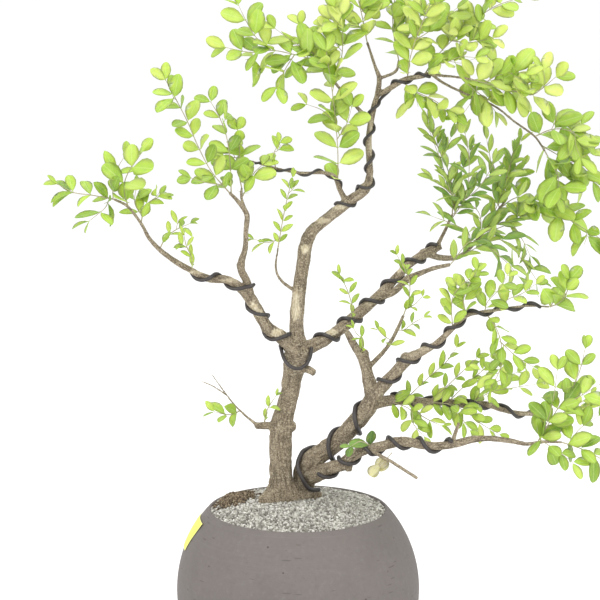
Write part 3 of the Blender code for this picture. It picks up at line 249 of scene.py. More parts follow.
# Wood: parent limb, then points (x, y, height above the rim, diameter)
LIMBS = {
    "trunk": (None, [
        (-10, 8, -20, 24), (-14, 7, 12, 22), (-16, 6, 34, 20.3), (-16, 6, 60, 19.8), (-15, 6, 76, 21.2),
        (-12, 7, 90, 17.6), (-8, 7, 104, 16.6), (-5, 6, 123, 17.4), (-1, 5, 140, 25), (0, 4, 156, 15)]),
    "leader": ("trunk", [
        (-1, 5, 146, 16), (-1, 7, 174, 12.3), (1, 11, 201, 12.3), (5, 14, 230, 11.8), (8, 16, 246, 11.8),
        (15, 17, 257, 10.4), (29, 19, 268, 9.5), (47, 21, 282, 9.6), (61, 22, 292, 8.4), (65, 23, 308, 6.2),
        (64, 24, 337, 5.6), (68, 25, 364, 5.4), (72, 25, 380, 5), (73, 26, 393, 4.5), (69, 26, 404, 3),
        (62, 26, 425, 2.7)]),
    "leader_left": ("leader", [
        (65, 24, 354, 4.1), (53, 17, 367, 3.6), (42, 14, 379, 3), (30, 10, 393, 2.7), (24, 9, 400, 2.4)]),
    "leader_back": ("leader", [(73, 26, 391, 3), (88, 30, 398, 2.8), (91, 34, 408, 2.4)]),
    "crown_branch": ("leader", [
        (71, 25, 377, 5), (83, 21, 384, 4.9), (96, 18, 392, 4.8), (111, 14, 395, 4.5), (120, 12, 399, 3.8)]),
    "crown_spray": ("crown_branch", [(116, 13, 398, 3), (140, 7, 395, 2.5), (155, 4, 393, 2.2)]),
    "crown_drop": ("crown_branch", [
        (117, 13, 398, 3), (132, 16, 388, 2.6), (155, 20, 377, 2.4), (178, 25, 367, 2.3), (196, 29, 353, 2.3),
        (215, 33, 339, 2.2), (225, 36, 325, 2)]),
    "low_branch": ("leader", [
        (44, 21, 279, 6), (38, 22, 292, 4.8), (33, 20, 304, 4.2), (22, 17, 308, 3.7), (6, 13, 308, 3),
        (-12, 8, 311, 2.6), (-32, 3, 317, 2.3), (-44, -1, 321, 2)]),
    "inner_twig": ("leader", [(0, 11, 199, 3.6), (-15, 5, 211, 2.8), (-20, 3, 223, 2.4), (-18, -1, 242, 2)]),
    "left_limb": ("trunk", [
        (0, 5, 143, 15), (-15, -1, 160, 12), (-27, -6, 169, 11), (-34, -11, 182, 10.8), (-41, -16, 196, 10.3),
        (-52, -21, 209, 8.5), (-64, -25, 217, 7.3), (-78, -28, 218, 6.6), (-94, -33, 226, 5.6),
        (-115, -38, 240, 4.6), (-130, -41, 255, 3.8), (-138, -43, 270, 3), (-149, -45, 285, 2.7),
        (-161, -47, 292, 2.4)]),
    "left_rise": ("left_limb", [
        (-41, -17, 197, 8), (-45, -21, 213, 6.6), (-51, -24, 228, 7), (-47, -26, 245, 5),
        (-46, -27, 262, 4.6), (-45, -28, 275, 5.2), (-50, -29, 284, 4.2), (-56, -29, 291, 3.4),
        (-61, -30, 296, 2.8)]),
    "left_fork": ("left_rise", [(-47, -28, 278, 3.6), (-50, -24, 290, 2.8), (-50, -20, 299, 2.3)]),
    "right_limb": ("trunk", [
        (0, 6, 146, 15), (13, 13, 149, 13), (26, 18, 155, 11.2), (39, 23, 163, 10.8), (55, 29, 176, 10.1),
        (74, 36, 191, 9.7), (89, 41, 206, 8), (103, 46, 220, 7.8), (116, 49, 228, 8.2), (132, 52, 236, 7)]),
    "right_side": ("right_limb", [
        (118, 49, 229, 6), (131, 50, 225, 5.6), (148, 53, 225, 4.8), (158, 56, 232, 4), (170, 60, 245, 3.2),
        (178, 63, 257, 2.6), (187, 66, 269, 2.2)]),
    "right_under": ("right_limb", [
        (72, 36, 189, 7.4), (88, 33, 196, 6.2), (100, 29, 208, 6.6), (121, 26, 218, 4.3),
        (139, 22, 223, 3.5)]),
    "shade_twig": ("right_limb", [
        (128, 51, 234, 4.4), (134, 49, 247, 3.6), (139, 49, 258, 3), (142, 48, 266, 2.6)]),
    "shade_high": ("right_side", [(185, 66, 267, 2.4), (193, 61, 278, 2.1)]),
    "low_limb": ("trunk", [
        (4, 19, -10, 20), (4, 17, 14, 20), (7, 13, 34, 20), (15, 7, 45, 19), (26, 0, 55, 17),
        (39, -8, 67, 15.6), (51, -14, 82, 15.4), (61, -18, 95, 15.6), (68, -22, 109, 15)]),
    "mid_stub": ("low_limb", [
        (67, -21, 106, 13), (65, -16, 119, 12.2), (62, -11, 132, 10.4), (58, -7, 144, 10.2),
        (51, -3, 153, 7.3), (44, 2, 165, 5.4)]),
    "mid_twig": ("mid_stub", [(62, -11, 131, 4.8), (80, -3, 150, 4), (90, 3, 166, 3.5), (96, 7, 179, 3)]),
    "mid_limb": ("low_limb", [
        (66, -21, 105, 14), (74, -26, 118, 12), (84, -30, 130, 10), (98, -35, 146, 9.6), (110, -38, 154, 7.6),
        (123, -41, 162, 6), (137, -44, 176, 4.8), (149, -46, 188, 4.2), (165, -48, 192, 3.4),
        (183, -50, 195, 2.7), (203, -51, 198, 2.4), (222, -52, 197, 2.1)]),
    "back_limb": ("low_limb", [
        (65, -20, 102, 12), (81, -15, 104, 10), (97, -11, 104, 8.4), (118, -4, 100, 7.4), (137, 2, 99, 6.6),
        (154, 7, 95, 6.2), (171, 12, 95, 5.7), (187, 17, 89, 5.2), (203, 22, 84, 4.6), (220, 27, 82, 3.9),
        (232, 31, 78, 3)]),
    "front_limb": ("low_limb", [
        (8, 10, 22, 15), (17, 1, 31, 14), (30, -13, 41, 12), (41, -19, 46, 11.6), (49, -24, 55, 10),
        (60, -30, 62, 8.8), (74, -37, 67, 8.5), (90, -44, 73, 9), (104, -50, 73, 8.2), (119, -56, 72, 7.2),
        (137, -62, 75, 7), (154, -68, 81, 6.3), (171, -73, 83, 5.4), (188, -78, 82, 4.6), (201, -81, 80, 4),
        (216, -85, 83, 2.9), (231, -87, 83, 2.4)]),
    "left_stub": ("trunk", [(-16, 9, 76, 9), (-28, 6, 76, 7), (-39, 2, 77, 6.4)]),
    "left_stub_twig": ("left_stub", [
        (-37, 3, 78, 3.4), (-48, -1, 87, 2.4), (-58, -4, 98, 2), (-67, -8, 111, 1.7), (-78, -12, 128, 1.4)]),
    "left_stub_side": ("left_stub_twig", [(-65, -7, 107, 1.8), (-77, -4, 115, 1.6), (-89, -2, 120, 1.3)]),
    "fork_stub": ("trunk", [(-3, 5, 134, 8), (8, -7, 132, 7), (15, -12, 129, 6.4)]),
    "front_twig": ("front_limb", [
        (64, -32, 64, 4), (73, -50, 62, 3.4), (82, -58, 59, 3), (94, -62, 52, 3.1), (106, -66, 45, 3.3)]),
    "front_spur": ("front_limb", [(137, -62, 76, 4.4), (139, -70, 88, 3.6), (142, -72, 97, 3)]),
}

# Swellings where old cuts have healed: x, y, height, diameter
KNOBS = [
    (3, -4, 130, 9), (45, -22, 44, 10), (60, 21, 294, 10.5), (97, -35, 148, 12), (58, -8, 146, 12.5),
    (-51, -23, 230, 8.5), (117, 49, 230, 10), (-8, 4, 76, 13), (101, 30, 209, 8.5),
]

# Leafy twigs: kind of leaf, then the routes of its shoots, the main one first: points (x, y, height)
SPRAYS = {
    "left_end": ("left", [
        [(-161, -47, 292), (-182, -48, 296), (-196, -48, 298), (-210, -52, 306)],
        [(-162, -47, 293), (-162, -46, 304), (-159, -43, 317), (-152, -40, 329)],
        [(-165, -47, 293), (-168, -56, 286), (-173, -64, 282), (-181, -71, 276)]]),
    "left_tip": ("round", [[(-149, -45, 285), (-152, -49, 299), (-149, -55, 314), (-135, -64, 335)]]),
    "left_mid": ("left", [
        [(-138, -43, 270), (-136, -38, 281), (-131, -33, 288), (-122, -28, 292)],
        [(-137, -41, 276), (-144, -35, 287), (-143, -27, 300)]]),
    "left_slim_1": ("slim", [[(-122, -39, 247), (-117, -37, 256), (-108, -33, 263), (-96, -30, 268)]]),
    "left_slim_2": ("slim", [[(-94, -33, 226), (-94, -40, 239), (-98, -46, 250), (-100, -50, 260)]]),
    "rise_long": ("fresh", [
        [(-61, -30, 296), (-76, -36, 315), (-87, -42, 337), (-96, -49, 360), (-106, -55, 381),
         (-114, -60, 397)],
        [(-67, -33, 303), (-80, -42, 306), (-93, -50, 311)]]),
    "rise_tall": ("fresh", [
        [(-59, -29, 295), (-60, -22, 320), (-63, -18, 343), (-69, -15, 360), (-77, -12, 374)]]),
    "rise_mid": ("round", [[(-50, -20, 299), (-53, -13, 314), (-52, -8, 330), (-54, 0, 348)]]),
    "rise_right": ("fresh", [[(-50, -24, 290), (-44, -17, 301), (-39, -10, 311), (-32, -4, 317)]]),
    "branch_end": ("left", [[(-44, -1, 321), (-54, 1, 323), (-66, 6, 323)]]),
    "branch_up": ("left", [[(-20, 6, 313), (-22, 8, 325), (-17, 13, 335)]]),
    "upright": ("fresh", [
        [(36, 22, 296), (36, 17, 325), (34, 9, 352), (31, 3, 379), (28, -1, 400), (25, -4, 418)],
        [(33, 9, 354), (22, 18, 364), (8, 24, 369)],
        [(35, 16, 338), (43, 10, 351), (48, 4, 368)]]),
    "high_left": ("fresh", [
        [(24, 9, 400), (10, 5, 411), (-7, 2, 416), (-23, 0, 419), (-42, 4, 417), (-64, 8, 421)],
        [(-3, 3, 415), (-11, -3, 403), (-18, -10, 388)],
        [(-24, 0, 419), (-38, -6, 432), (-46, -9, 446), (-52, -14, 459)]]),
    "high_up": ("fresh", [
        [(28, 10, 396), (16, 12, 412), (7, 14, 426), (2, 17, 440)],
        [(13, 13, 416), (-4, 6, 426), (-20, 0, 438)]]),
    "top": ("crown", [
        [(62, 26, 425), (57, 26, 450), (51, 24, 473), (44, 21, 492)],
        [(60, 26, 436), (48, 22, 440), (29, 14, 441)],
        [(57, 26, 452), (67, 31, 461), (80, 38, 478)]]),
    "top_left": ("crown", [[(31, 10, 392), (38, 10, 408), (40, 8, 428), (38, 6, 449)]]),
    "back": ("crown", [
        [(91, 34, 408), (87, 41, 428), (86, 47, 452), (92, 52, 480)],
        [(90, 37, 418), (102, 46, 434), (114, 56, 450)]]),
    "crown_up": ("crown", [
        [(98, 18, 392), (100, 14, 410), (105, 10, 428), (113, 3, 450), (122, -4, 472), (131, -8, 489)],
        [(104, 10, 427), (120, 15, 437), (142, 24, 455)]]),
    "crown_rise": ("crown", [
        [(113, 14, 396), (123, 19, 411), (138, 24, 426), (155, 28, 441), (177, 34, 456), (204, 41, 465)],
        [(138, 24, 426), (154, 16, 425), (172, 8, 429)],
        [(118, 17, 405), (132, 8, 408), (144, 1, 413), (157, -4, 413)]]),
    "crown_low": ("crown", [[(93, 18, 390), (106, 12, 381), (120, 8, 375), (134, 2, 366)]]),
    "spray_end": ("crown", [
        [(155, 4, 393), (170, 0, 389), (190, -4, 384), (206, -8, 380), (216, -11, 386), (227, -14, 396)],
        [(166, 1, 390), (180, -3, 398), (201, -9, 400)]]),
    "spray_low": ("crown", [[(146, 6, 394), (157, 10, 384), (168, 15, 375), (177, 19, 364)]]),
    "drop_tip": ("big", [[(225, 36, 325), (231, 34, 314), (237, 32, 302), (236, 30, 286)]]),
    "drop_out": ("big", [[(215, 33, 339), (229, 26, 346), (243, 21, 346), (258, 16, 338)]]),
    "drop_far": ("big", [[(221, 35, 331), (236, 42, 322), (252, 44, 312), (270, 46, 297)]]),
    "drop_arm": ("big", [[(187, 66, 269), (204, 60, 280), (226, 56, 274), (249, 50, 261), (278, 44, 244)]]),
    "shade_left": ("shade", [
        [(142, 48, 266), (142, 47, 285), (138, 46, 305), (131, 44, 321), (124, 42, 337), (119, 40, 352)],
        [(142, 47, 290), (150, 54, 303), (158, 60, 322)],
        [(142, 47, 274), (156, 44, 282), (168, 39, 295), (178, 34, 314)],
        [(142, 48, 266), (144, 46, 270), (135, 42, 303), (118, 38, 348)],
        [(142, 48, 262), (154, 40, 285), (156, 36, 317), (152, 34, 341)],
        [(160, 56, 235), (156, 44, 250), (137, 38, 260), (122, 34, 266)],
        [(170, 60, 245), (166, 50, 268), (145, 44, 283), (124, 40, 298)]]),
    "shade_high": ("shade", [
        [(193, 61, 278), (196, 64, 297), (198, 66, 314), (205, 68, 330)],
        [(187, 66, 269), (180, 58, 292), (177, 54, 315), (173, 50, 334)],
        [(178, 63, 257), (186, 56, 278), (193, 50, 305), (198, 46, 325)]]),
    "shade_low": ("shade", [
        [(172, 61, 247), (187, 58, 252), (200, 54, 259), (212, 48, 268)],
        [(139, 22, 223), (160, 24, 245), (186, 20, 229), (201, 18, 213)],
        [(148, 53, 225), (186, 48, 242), (208, 42, 222), (227, 38, 195)],
        [(170, 60, 245), (191, 54, 258), (205, 50, 245), (214, 46, 228)]]),
    "mid_up": ("small", [
        [(149, -46, 188), (146, -50, 203), (150, -53, 216), (157, -56, 230)],
        [(137, -44, 176), (136, -50, 203), (144, -54, 217), (157, -56, 227)],
        [(183, -50, 195), (184, -56, 204), (196, -60, 210), (208, -62, 219)],
        [(165, -48, 192), (167, -54, 202), (177, -60, 215), (183, -64, 227)]]),
    "mid_end": ("round", [
        [(222, -52, 197), (230, -54, 201), (236, -56, 210), (238, -58, 222)],
        [(222, -52, 197), (227, -55, 204), (233, -57, 208), (235, -58, 213)]]),
    "mid_hang": ("small", [
        [(166, -48, 191), (176, -53, 176), (180, -56, 159), (178, -60, 142), (170, -63, 126)],
        [(178, -55, 167), (191, -57, 155), (207, -60, 145)]]),
    "mid_rise": ("slim", [
        [(96, 7, 179), (101, 10, 194), (101, 5, 210), (96, 0, 223), (89, -6, 236)],
        [(98, 8, 184), (106, 2, 190), (112, -6, 198)],
        [(80, -3, 150), (85, -8, 157), (77, -14, 164), (72, -18, 170)],
        [(90, 3, 166), (96, -2, 167), (105, -8, 175), (113, -12, 180)],
        [(58, -7, 144), (58, -14, 160), (53, -18, 166), (50, -22, 172)]]),
    "right_limb_twig": ("slim", [[(50, 27, 171), (49, 22, 186), (45, 18, 200), (38, 13, 215)]]),
    "back_up": ("slim", [
        [(119, -4, 101), (134, -5, 114), (147, -9, 128), (161, -14, 143)],
        [(97, -11, 104), (117, -16, 125), (133, -22, 141), (142, -26, 155)],
        [(137, 2, 99), (155, -4, 119), (167, -10, 131), (175, -14, 142)]]),
    "back_down": ("small", [
        [(100, -11, 103), (107, -20, 95), (117, -24, 89), (129, -28, 84)],
        [(81, -15, 104), (101, -24, 98), (104, -30, 86), (113, -34, 76)],
        [(137, 2, 99), (153, -8, 92), (167, -14, 82), (182, -18, 74)],
        [(118, -4, 100), (138, -14, 100), (148, -20, 89), (155, -24, 79)]]),
    "back_out": ("small", [
        [(158, 8, 95), (171, 10, 107), (184, 15, 116), (201, 20, 123)],
        [(154, 7, 95), (177, 4, 108), (197, 0, 113), (216, -4, 117)]]),
    "back_end": ("small", [[(232, 31, 78), (245, 31, 82), (257, 27, 90), (270, 22, 101)]]),
    "far_up": ("fresh", [
        [(210, -83, 82), (219, -81, 97), (228, -77, 111), (239, -73, 125), (247, -70, 142), (252, -67, 162)],
        [(229, -77, 112), (244, -83, 122), (262, -90, 135)],
        [(210, -83, 82), (219, -80, 101), (224, -78, 122), (227, -76, 145)]]),
    "far_end": ("fresh", [
        [(231, -87, 83), (247, -90, 78), (262, -92, 71), (278, -96, 61)],
        [(236, -88, 81), (247, -82, 94), (264, -76, 104)],
        [(216, -85, 83), (211, -90, 86), (225, -94, 78), (239, -98, 68)]]),
    "front_leaves": ("dark", [[(67, -33, 65), (62, -39, 70), (55, -43, 73), (48, -47, 70)]]),
    "withered": ("dry", [
        [(76, -52, 60), (72, -55, 55), (68, -59, 52)],
        [(84, -48, 64), (80, -51, 60), (77, -54, 58)]]),
    "stub_leaves": ("left", [[(-53, -2, 92), (-60, -5, 89), (-67, -8, 90), (-76, -11, 93)]]),
    "stub_up": ("slim", [[(-31, 5, 78), (-29, -1, 90), (-25, -5, 99), (-20, -8, 107)]]),
    "inner": ("slim", [
        [(-18, -1, 242), (-14, -6, 266), (-10, -9, 286), (-5, -5, 306)],
        [(-17, -3, 250), (-28, -10, 248), (-39, -16, 252)]]),
}

# Training wires: diameter, a start set in the grit or round the fork if it has one, then the windings:
# limb, from and to as shares of the limb's length, turns (negative is left-handed), angle of the first point
WIRES = {
    "wire_low_limb": (4.0, [(20, 12, 14), (10, 2, 17), (4, -4, 29), (-1, 0, 40)], [
        ("low_limb", 0.4, 0.98, -2.45, 0)]),
    "wire_mid_limb": (3.2, [], [("mid_limb", 0.1, 0.96, 6.4, 318)]),
    "wire_back_limb": (3.2, [], [("back_limb", 0.12, 0.97, 4.3, 320)]),
    "wire_front_limb": (3.6, [], [("front_limb", 0.12, 0.64, 4.95, 70)]),
    "wire_left_limb": (3.4, [
        (12, 4, 150), (11, -7, 142), (4, -14, 134), (-5, -14, 134), (-12, -9, 140), (-15, -1, 148),
        (-14, 7, 155)], [("left_limb", 0.08, 0.585, -3.7, 180)]),
    "wire_right_limb": (3.6, [], [("right_limb", 0.12, 0.98, 5.4, 270)]),
    "wire_leader": (2.8, [], [("leader", 0.46, 0.83, 4.7, 338), ("crown_branch", 0.2, 0.95, 1.8, 220)]),
    "wire_low_branch": (2.2, [], [("low_branch", 0.1, 0.95, -3.6, 290)]),
}


# ---------------------------------------------------------------- node trees

class Nodes:
    """A node tree and short ways to draw in it. A value is a number, a tuple, an output or a node."""

    def __init__(self, tree):
        self.tree = tree

    def feed(self, socket, value):
        """Links a value's output to a socket, or sets the socket to the value."""
        if isinstance(value, bpy.types.Node):
            value = next(s for s in value.outputs if s.enabled)
        if isinstance(value, bpy.types.NodeSocket):
            self.tree.links.new(value, socket)
        elif socket.type == "RGBA":
            socket.default_value = (*value, 1.0)
        else:
            socket.default_value = value

    def add(self, kind, *values, settings=(), **named):
        """A node with its settings, and its inputs fed by order or by name."""
        node = self.tree.nodes.new(kind)
        for key, value in dict(settings).items():
            setattr(node, key, value)
        sockets = [s for s in node.inputs if s.enabled]
        pairs = list(zip(sockets, values))
        for name, value in named.items():
            pairs.append((next(s for s in sockets if s.name == name.replace("_", " ")), value))
        for socket, value in pairs:
            self.feed(socket, value)
        return node

    def maths(self, operation, *values):
        return self.add("ShaderNodeMath", *values, settings={"operation": operation})

    def times(self, a, b):
        return self.maths("MULTIPLY", a, b)

    def plus(self, a, b):
        return self.maths("ADD", a, b)

    def minus(self, a, b):
        return self.maths("SUBTRACT", a, b)

    def vectors(self, operation, *values, **named):
        return self.add("ShaderNodeVectorMath", *values, settings={"operation": operation}, **named)

    def fit(self, value, low, high, start=0.0, end=1.0):
        """A value stretched from one range to another and kept within it."""
        return self.add("ShaderNodeMapRange", value, low, high, start, end, settings={"clamp": True})

    def mix(self, factor, a, b):
        """Two colours mixed."""
        return self.add("ShaderNodeMix", factor, a, b, settings={"data_type": "RGBA"})

    def noise(self, place, scale, detail, roughness=0.5):
        node = self.add("ShaderNodeTexNoise", Vector=place, Scale=scale, Detail=detail, Roughness=roughness)
        return node.outputs[0]

    def place(self):
        """Where a spot lies on the object, in metres."""
        return self.add("ShaderNodeTexCoord").outputs["Object"]

    def face(self):
        """Where a spot lies on a flat face, across and along."""
        return self.add("ShaderNodeSeparateXYZ", self.add("ShaderNodeUVMap")).outputs

    def stretched(self, place, *scale):
        return self.add("ShaderNodeMapping", place, Scale=scale)

    def attribute(self, name):
        return self.add("ShaderNodeAttribute", settings={"attribute_name": name}).outputs["Fac"]

    def ramp(self, value, *stops):
        """A colour ramp with (place, colour) stops."""
        node = self.add("ShaderNodeValToRGB", value)
        elements = node.color_ramp.elements
        while len(elements) < len(stops):
            elements.new(1.0)
        for element, (place, colour) in zip(elements, stops):
            element.position = place
            element.color = (*colour, 1.0)
        return node.outputs[0]

    def use(self, shared, *values):
        """A node group in this tree, with its inputs by order. Gives its outputs."""
        return self.add("ShaderNodeGroup", *values, settings={"node_tree": shared}).outputs

    def random(self, kind, low, high, seed):
        return self.add("FunctionNodeRandomValue", settings={"data_type": kind}, Min=low, Max=high, Seed=seed)

    def around(self, middle, spread):
        """The low and the high end of a spread."""
        return self.minus(middle, spread), self.plus(middle, spread)

    def store(self, geometry, kind, name, value):
        """Geometry with a named attribute on its points."""
        return self.add("GeometryNodeStoreNamedAttribute", settings={"data_type": kind, "domain": "POINT"},
                        Geometry=geometry, Name=name, Value=value)

    def stored(self, kind, name):
        return self.add("GeometryNodeInputNamedAttribute", settings={"data_type": kind}, Name=name)

    def planted(self, points, shapes, last, seed, rotation, scale):
        """Real shapes on points, each picked by chance from a collection that is numbered up to the last."""
        shapes = self.add("GeometryNodeCollectionInfo", Collection=shapes, Separate_Children=True,
                          Reset_Children=True)
        spread = self.add("GeometryNodeInstanceOnPoints", Points=points, Instance=shapes, Pick_Instance=True,
                          Instance_Index=self.random("INT", 0, last, seed), Rotation=rotation, Scale=scale)
        return self.add("GeometryNodeRealizeInstances", Geometry=spread)

    def tubes(self, curve, sides, finish):
        """Round closed tubes along curves, as thick as the curves' radius."""
        profile = self.add("GeometryNodeCurvePrimitiveCircle", Resolution=sides, Radius=1.0)
        tubes = self.add("GeometryNodeCurveToMesh", Curve=curve, Profile_Curve=profile,
                         Scale=self.add("GeometryNodeInputRadius"), Fill_Caps=True)
        return self.coated(self.add("GeometryNodeSetShadeSmooth", Geometry=tubes), finish)

    def coated(self, geometry, finish):
        return self.add("GeometryNodeSetMaterial", Geometry=geometry, Material=finish)

    def joined(self, *parts):
        both = self.add("GeometryNodeJoinGeometry")
        for part in parts:
            self.feed(both.inputs[0], part)
        return both


class Group(Nodes):
    """A new node group. An input is given by its default value or its kind of socket."""

    SOCKETS = {float: "Float", int: "Int", tuple: "Color"}

    def __init__(self, name, kind, inputs, outputs):
        super().__init__(bpy.data.node_groups.new(name, kind))
        for label, value in inputs.items():
            socket = value if isinstance(value, str) else self.SOCKETS[type(value)]
            made = self.tree.interface.new_socket(label, in_out="INPUT", socket_type=f"NodeSocket{socket}")
            if not isinstance(value, str):
                made.default_value = (*value, 1.0) if isinstance(value, tuple) else value
        for label, socket in outputs.items():
            self.tree.interface.new_socket(label, in_out="OUTPUT", socket_type=f"NodeSocket{socket}")
        self.given = self.tree.nodes.new("NodeGroupInput").outputs
        self.out = self.tree.nodes.new("NodeGroupOutput").inputs

    def done(self, *values):
        """Feeds the outputs in their order and gives the group's tree."""
        for socket, value in zip(self.out, values):
            self.feed(socket, value)
        return self.tree


class Finish(Nodes):
    """A new material."""

    def __init__(self, name):
        self.material = bpy.data.materials.new(name)
        self.material.use_nodes = True
        super().__init__(self.material.node_tree)

    def done(self, colour, roughness, bump=None, **others):
        """Feeds the shader and gives the material. A bump has a strength, a depth and a height."""
        if bump:
            strength, depth, height = bump
            others["Normal"] = self.add("ShaderNodeBump", Strength=strength, Distance=depth, Height=height)
        for name, value in {"Base_Color": colour, "Roughness": roughness, **others}.items():
            self.feed(self.tree.nodes["Principled BSDF"].inputs[name.replace("_", " ")], value)
        return self.material


# ---------------------------------------------------------------- effects that several finishes share

def mottle_group():
    """Cloudy variation of a colour at two scales, with fine grains over it."""
    t = Group("mottle", "ShaderNodeTree", {
        "Place": "Vector", "Colour": (0.5, 0.5, 0.5), "Dark": (0.2, 0.2, 0.2), "Light": (0.8, 0.8, 0.8),
        "Scale": 100.0, "Strength": 0.5}, {"Colour": "Color", "Cloud": "Float", "Fine": "Float"})
    place, dark, scale, strength = (t.given[name] for name in ("Place", "Dark", "Scale", "Strength"))
    cloud = t.noise(place, scale, 4.0, 0.6)
    fine = t.noise(place, t.times(scale, 9.0), 3.0, 0.65)
    down = t.times(t.fit(cloud, 0.5, 0.3), strength)
    up = t.times(t.fit(fine, 0.55, 0.75), strength)
    pits = t.times(t.fit(fine, 0.45, 0.27), strength)
    shade = t.mix(t.times(pits, 0.8), t.mix(down, t.given["Colour"], dark), dark)
    return t.done(t.mix(up, shade, t.given["Light"]), cloud, fine)


def specks_group():
    """Small scattered spots of uneven size, as a mask."""
    t = Group("specks", "ShaderNodeTree", {"Place": "Vector", "Scale": 100.0, "Size": 0.1, "Share": 0.2},
              {"Mask": "Float"})
    cells = t.add("ShaderNodeTexVoronoi", Vector=t.given["Place"], Scale=t.given["Scale"]).outputs
    chance = t.add("ShaderNodeSeparateColor", cells["Color"]).outputs
    near = t.maths("LESS_THAN", cells["Distance"], t.times(chance[1], t.given["Size"]))
    return t.done(t.times(near, t.maths("LESS_THAN", chance[0], t.given["Share"])))


def blade_group():
    """A leaf's face: green by its tone, a pale midrib, side veins, darker edge and small blemishes."""
    t = Group("leaf face", "ShaderNodeTree", {
        "Dark": (0.1, 0.2, 0.04), "Middle": (0.3, 0.5, 0.05), "Light": (0.6, 0.7, 0.15),
        "Rib": (0.7, 0.8, 0.4), "Rib strength": 0.5, "Veins": 0.3},
        {"Colour": "Color", "Height": "Float", "Roughness": "Float"})
    take = t.given
    place, (across, along, _) = t.place(), t.face()
    cloud = t.noise(place, 160.0, 3.0, 0.6)
    tone = t.plus(t.attribute("tone"), t.fit(cloud, 0.3, 0.7, -0.09, 0.09))
    green = t.mix(t.fit(tone, 0.0, 0.5), take["Dark"], take["Middle"])
    green = t.mix(t.fit(tone, 0.5, 1.0), green, take["Light"])
    side = t.maths("ABSOLUTE", t.minus(across, 0.5))
    rib = t.fit(side, 0.045, 0.012)
    slant = t.minus(t.times(along, 8.0), t.times(side, 7.0))
    veins = t.fit(t.maths("PINGPONG", slant, 0.5), 0.12, 0.02)
    colour = t.mix(t.times(t.fit(side, 0.2, 0.5), 0.22), green, take["Dark"])
    colour = t.mix(t.times(veins, take["Veins"]), colour, take["Rib"])
    colour = t.mix(t.times(rib, take["Rib strength"]), colour, take["Rib"])
    spots = t.times(t.fit(t.noise(place, 700.0, 2.0), 0.7, 0.78), 0.45)
    return t.done(t.mix(spots, colour, (0.32, 0.25, 0.07)), t.plus(t.times(rib, 0.6), t.times(veins, 0.35)),
                  t.fit(cloud, 0.3, 0.7, 0.36, 0.52))


MOTTLE = mottle_group()
SPECKS = specks_group()
LEAF_FACE = blade_group()


# ---------------------------------------------------------------- finishes

def mottled_finish(name, dark, middle, light, scale, strength, bump, rough, by="Cloud", grains=False, **more):
    """Mottled colour with a fine bump (strength, depth) and a range of roughness. Grains have a tone each."""
    t = Finish(name)
    colour = t.ramp(t.attribute("tone"), (0.0, dark), (0.45, middle), (1.0, light)) if grains else middle
    mottle = t.use(MOTTLE, t.place(), colour, dark, light, scale, strength)
    return t.done(mottle["Colour"], t.fit(mottle[by], 0.3, 0.7, *rough), (*bump, mottle["Fine"]), **more)


def grain_finish(name, dark, middle, light):
    """Loose grains, each with its own tone, dusty and pitted."""
    return mottled_finish(name, dark, middle, light, 420.0, 0.5, (0.6, 0.35 * MM), (0.82, 0.95), grains=True)


def clay_finish():
    """Matte grey-brown stoneware with pits, dark specks and faint level scratches."""
    t = Finish("stoneware")
    place = t.place()
    mottle = t.use(MOTTLE, place, CLAY, CLAY_DARK, CLAY_LIGHT, 26.0, 0.32)
    dots = t.use(SPECKS, place, 150.0, 0.2, 0.09)[0]
    crumbs = t.use(SPECKS, place, 420.0, 0.3, 0.16)[0]
    dashes = t.use(SPECKS, t.stretched(place, 95.0, 95.0, 640.0), 1.0, 0.5, 0.06)[0]
    lines = t.noise(t.stretched(place, 6.0, 6.0, 900.0), 1.0, 2.0)
    colour = t.mix(t.times(t.fit(lines, 0.62, 0.75), 0.22), mottle["Colour"], CLAY_LIGHT)
    colour = t.mix(t.times(dashes, 0.75), colour, CLAY_DARK)
    colour = t.mix(t.times(crumbs, 0.3), colour, CLAY_DARK)
    colour = t.mix(t.times(dots, 0.75), colour, (0.06, 0.05, 0.045))
    height = t.minus(t.minus(mottle["Fine"], t.times(dots, 1.5)), t.times(crumbs, 0.5))
    height = t.plus(height, t.times(lines, 0.6))
    return t.done(colour, t.fit(mottle["Cloud"], 0.3, 0.7, 0.68, 0.84), (0.35, 0.4 * MM, height))


def paper_finish():
    """Plain yellow paper with faint fibres and a slightly worn edge."""
    t = Finish("yellow_paper")
    mottle = t.use(MOTTLE, t.place(), (0.86, 0.86, 0.13), (0.7, 0.69, 0.08), (0.95, 0.95, 0.4), 140.0, 0.25)
    across, along, _ = t.face()
    edges = [t.maths("ABSOLUTE", t.minus(way, 0.5)) for way in (across, along)]
    worn = t.fit(t.maths("MAXIMUM", *edges), 0.47, 0.5, 0.0, 0.5)
    colour = t.mix(worn, mottle["Colour"], (0.9, 0.9, 0.55))
    return t.done(colour, t.fit(mottle["Cloud"], 0.3, 0.7, 0.5, 0.62), (0.15, 0.1 * MM, mottle["Fine"]))


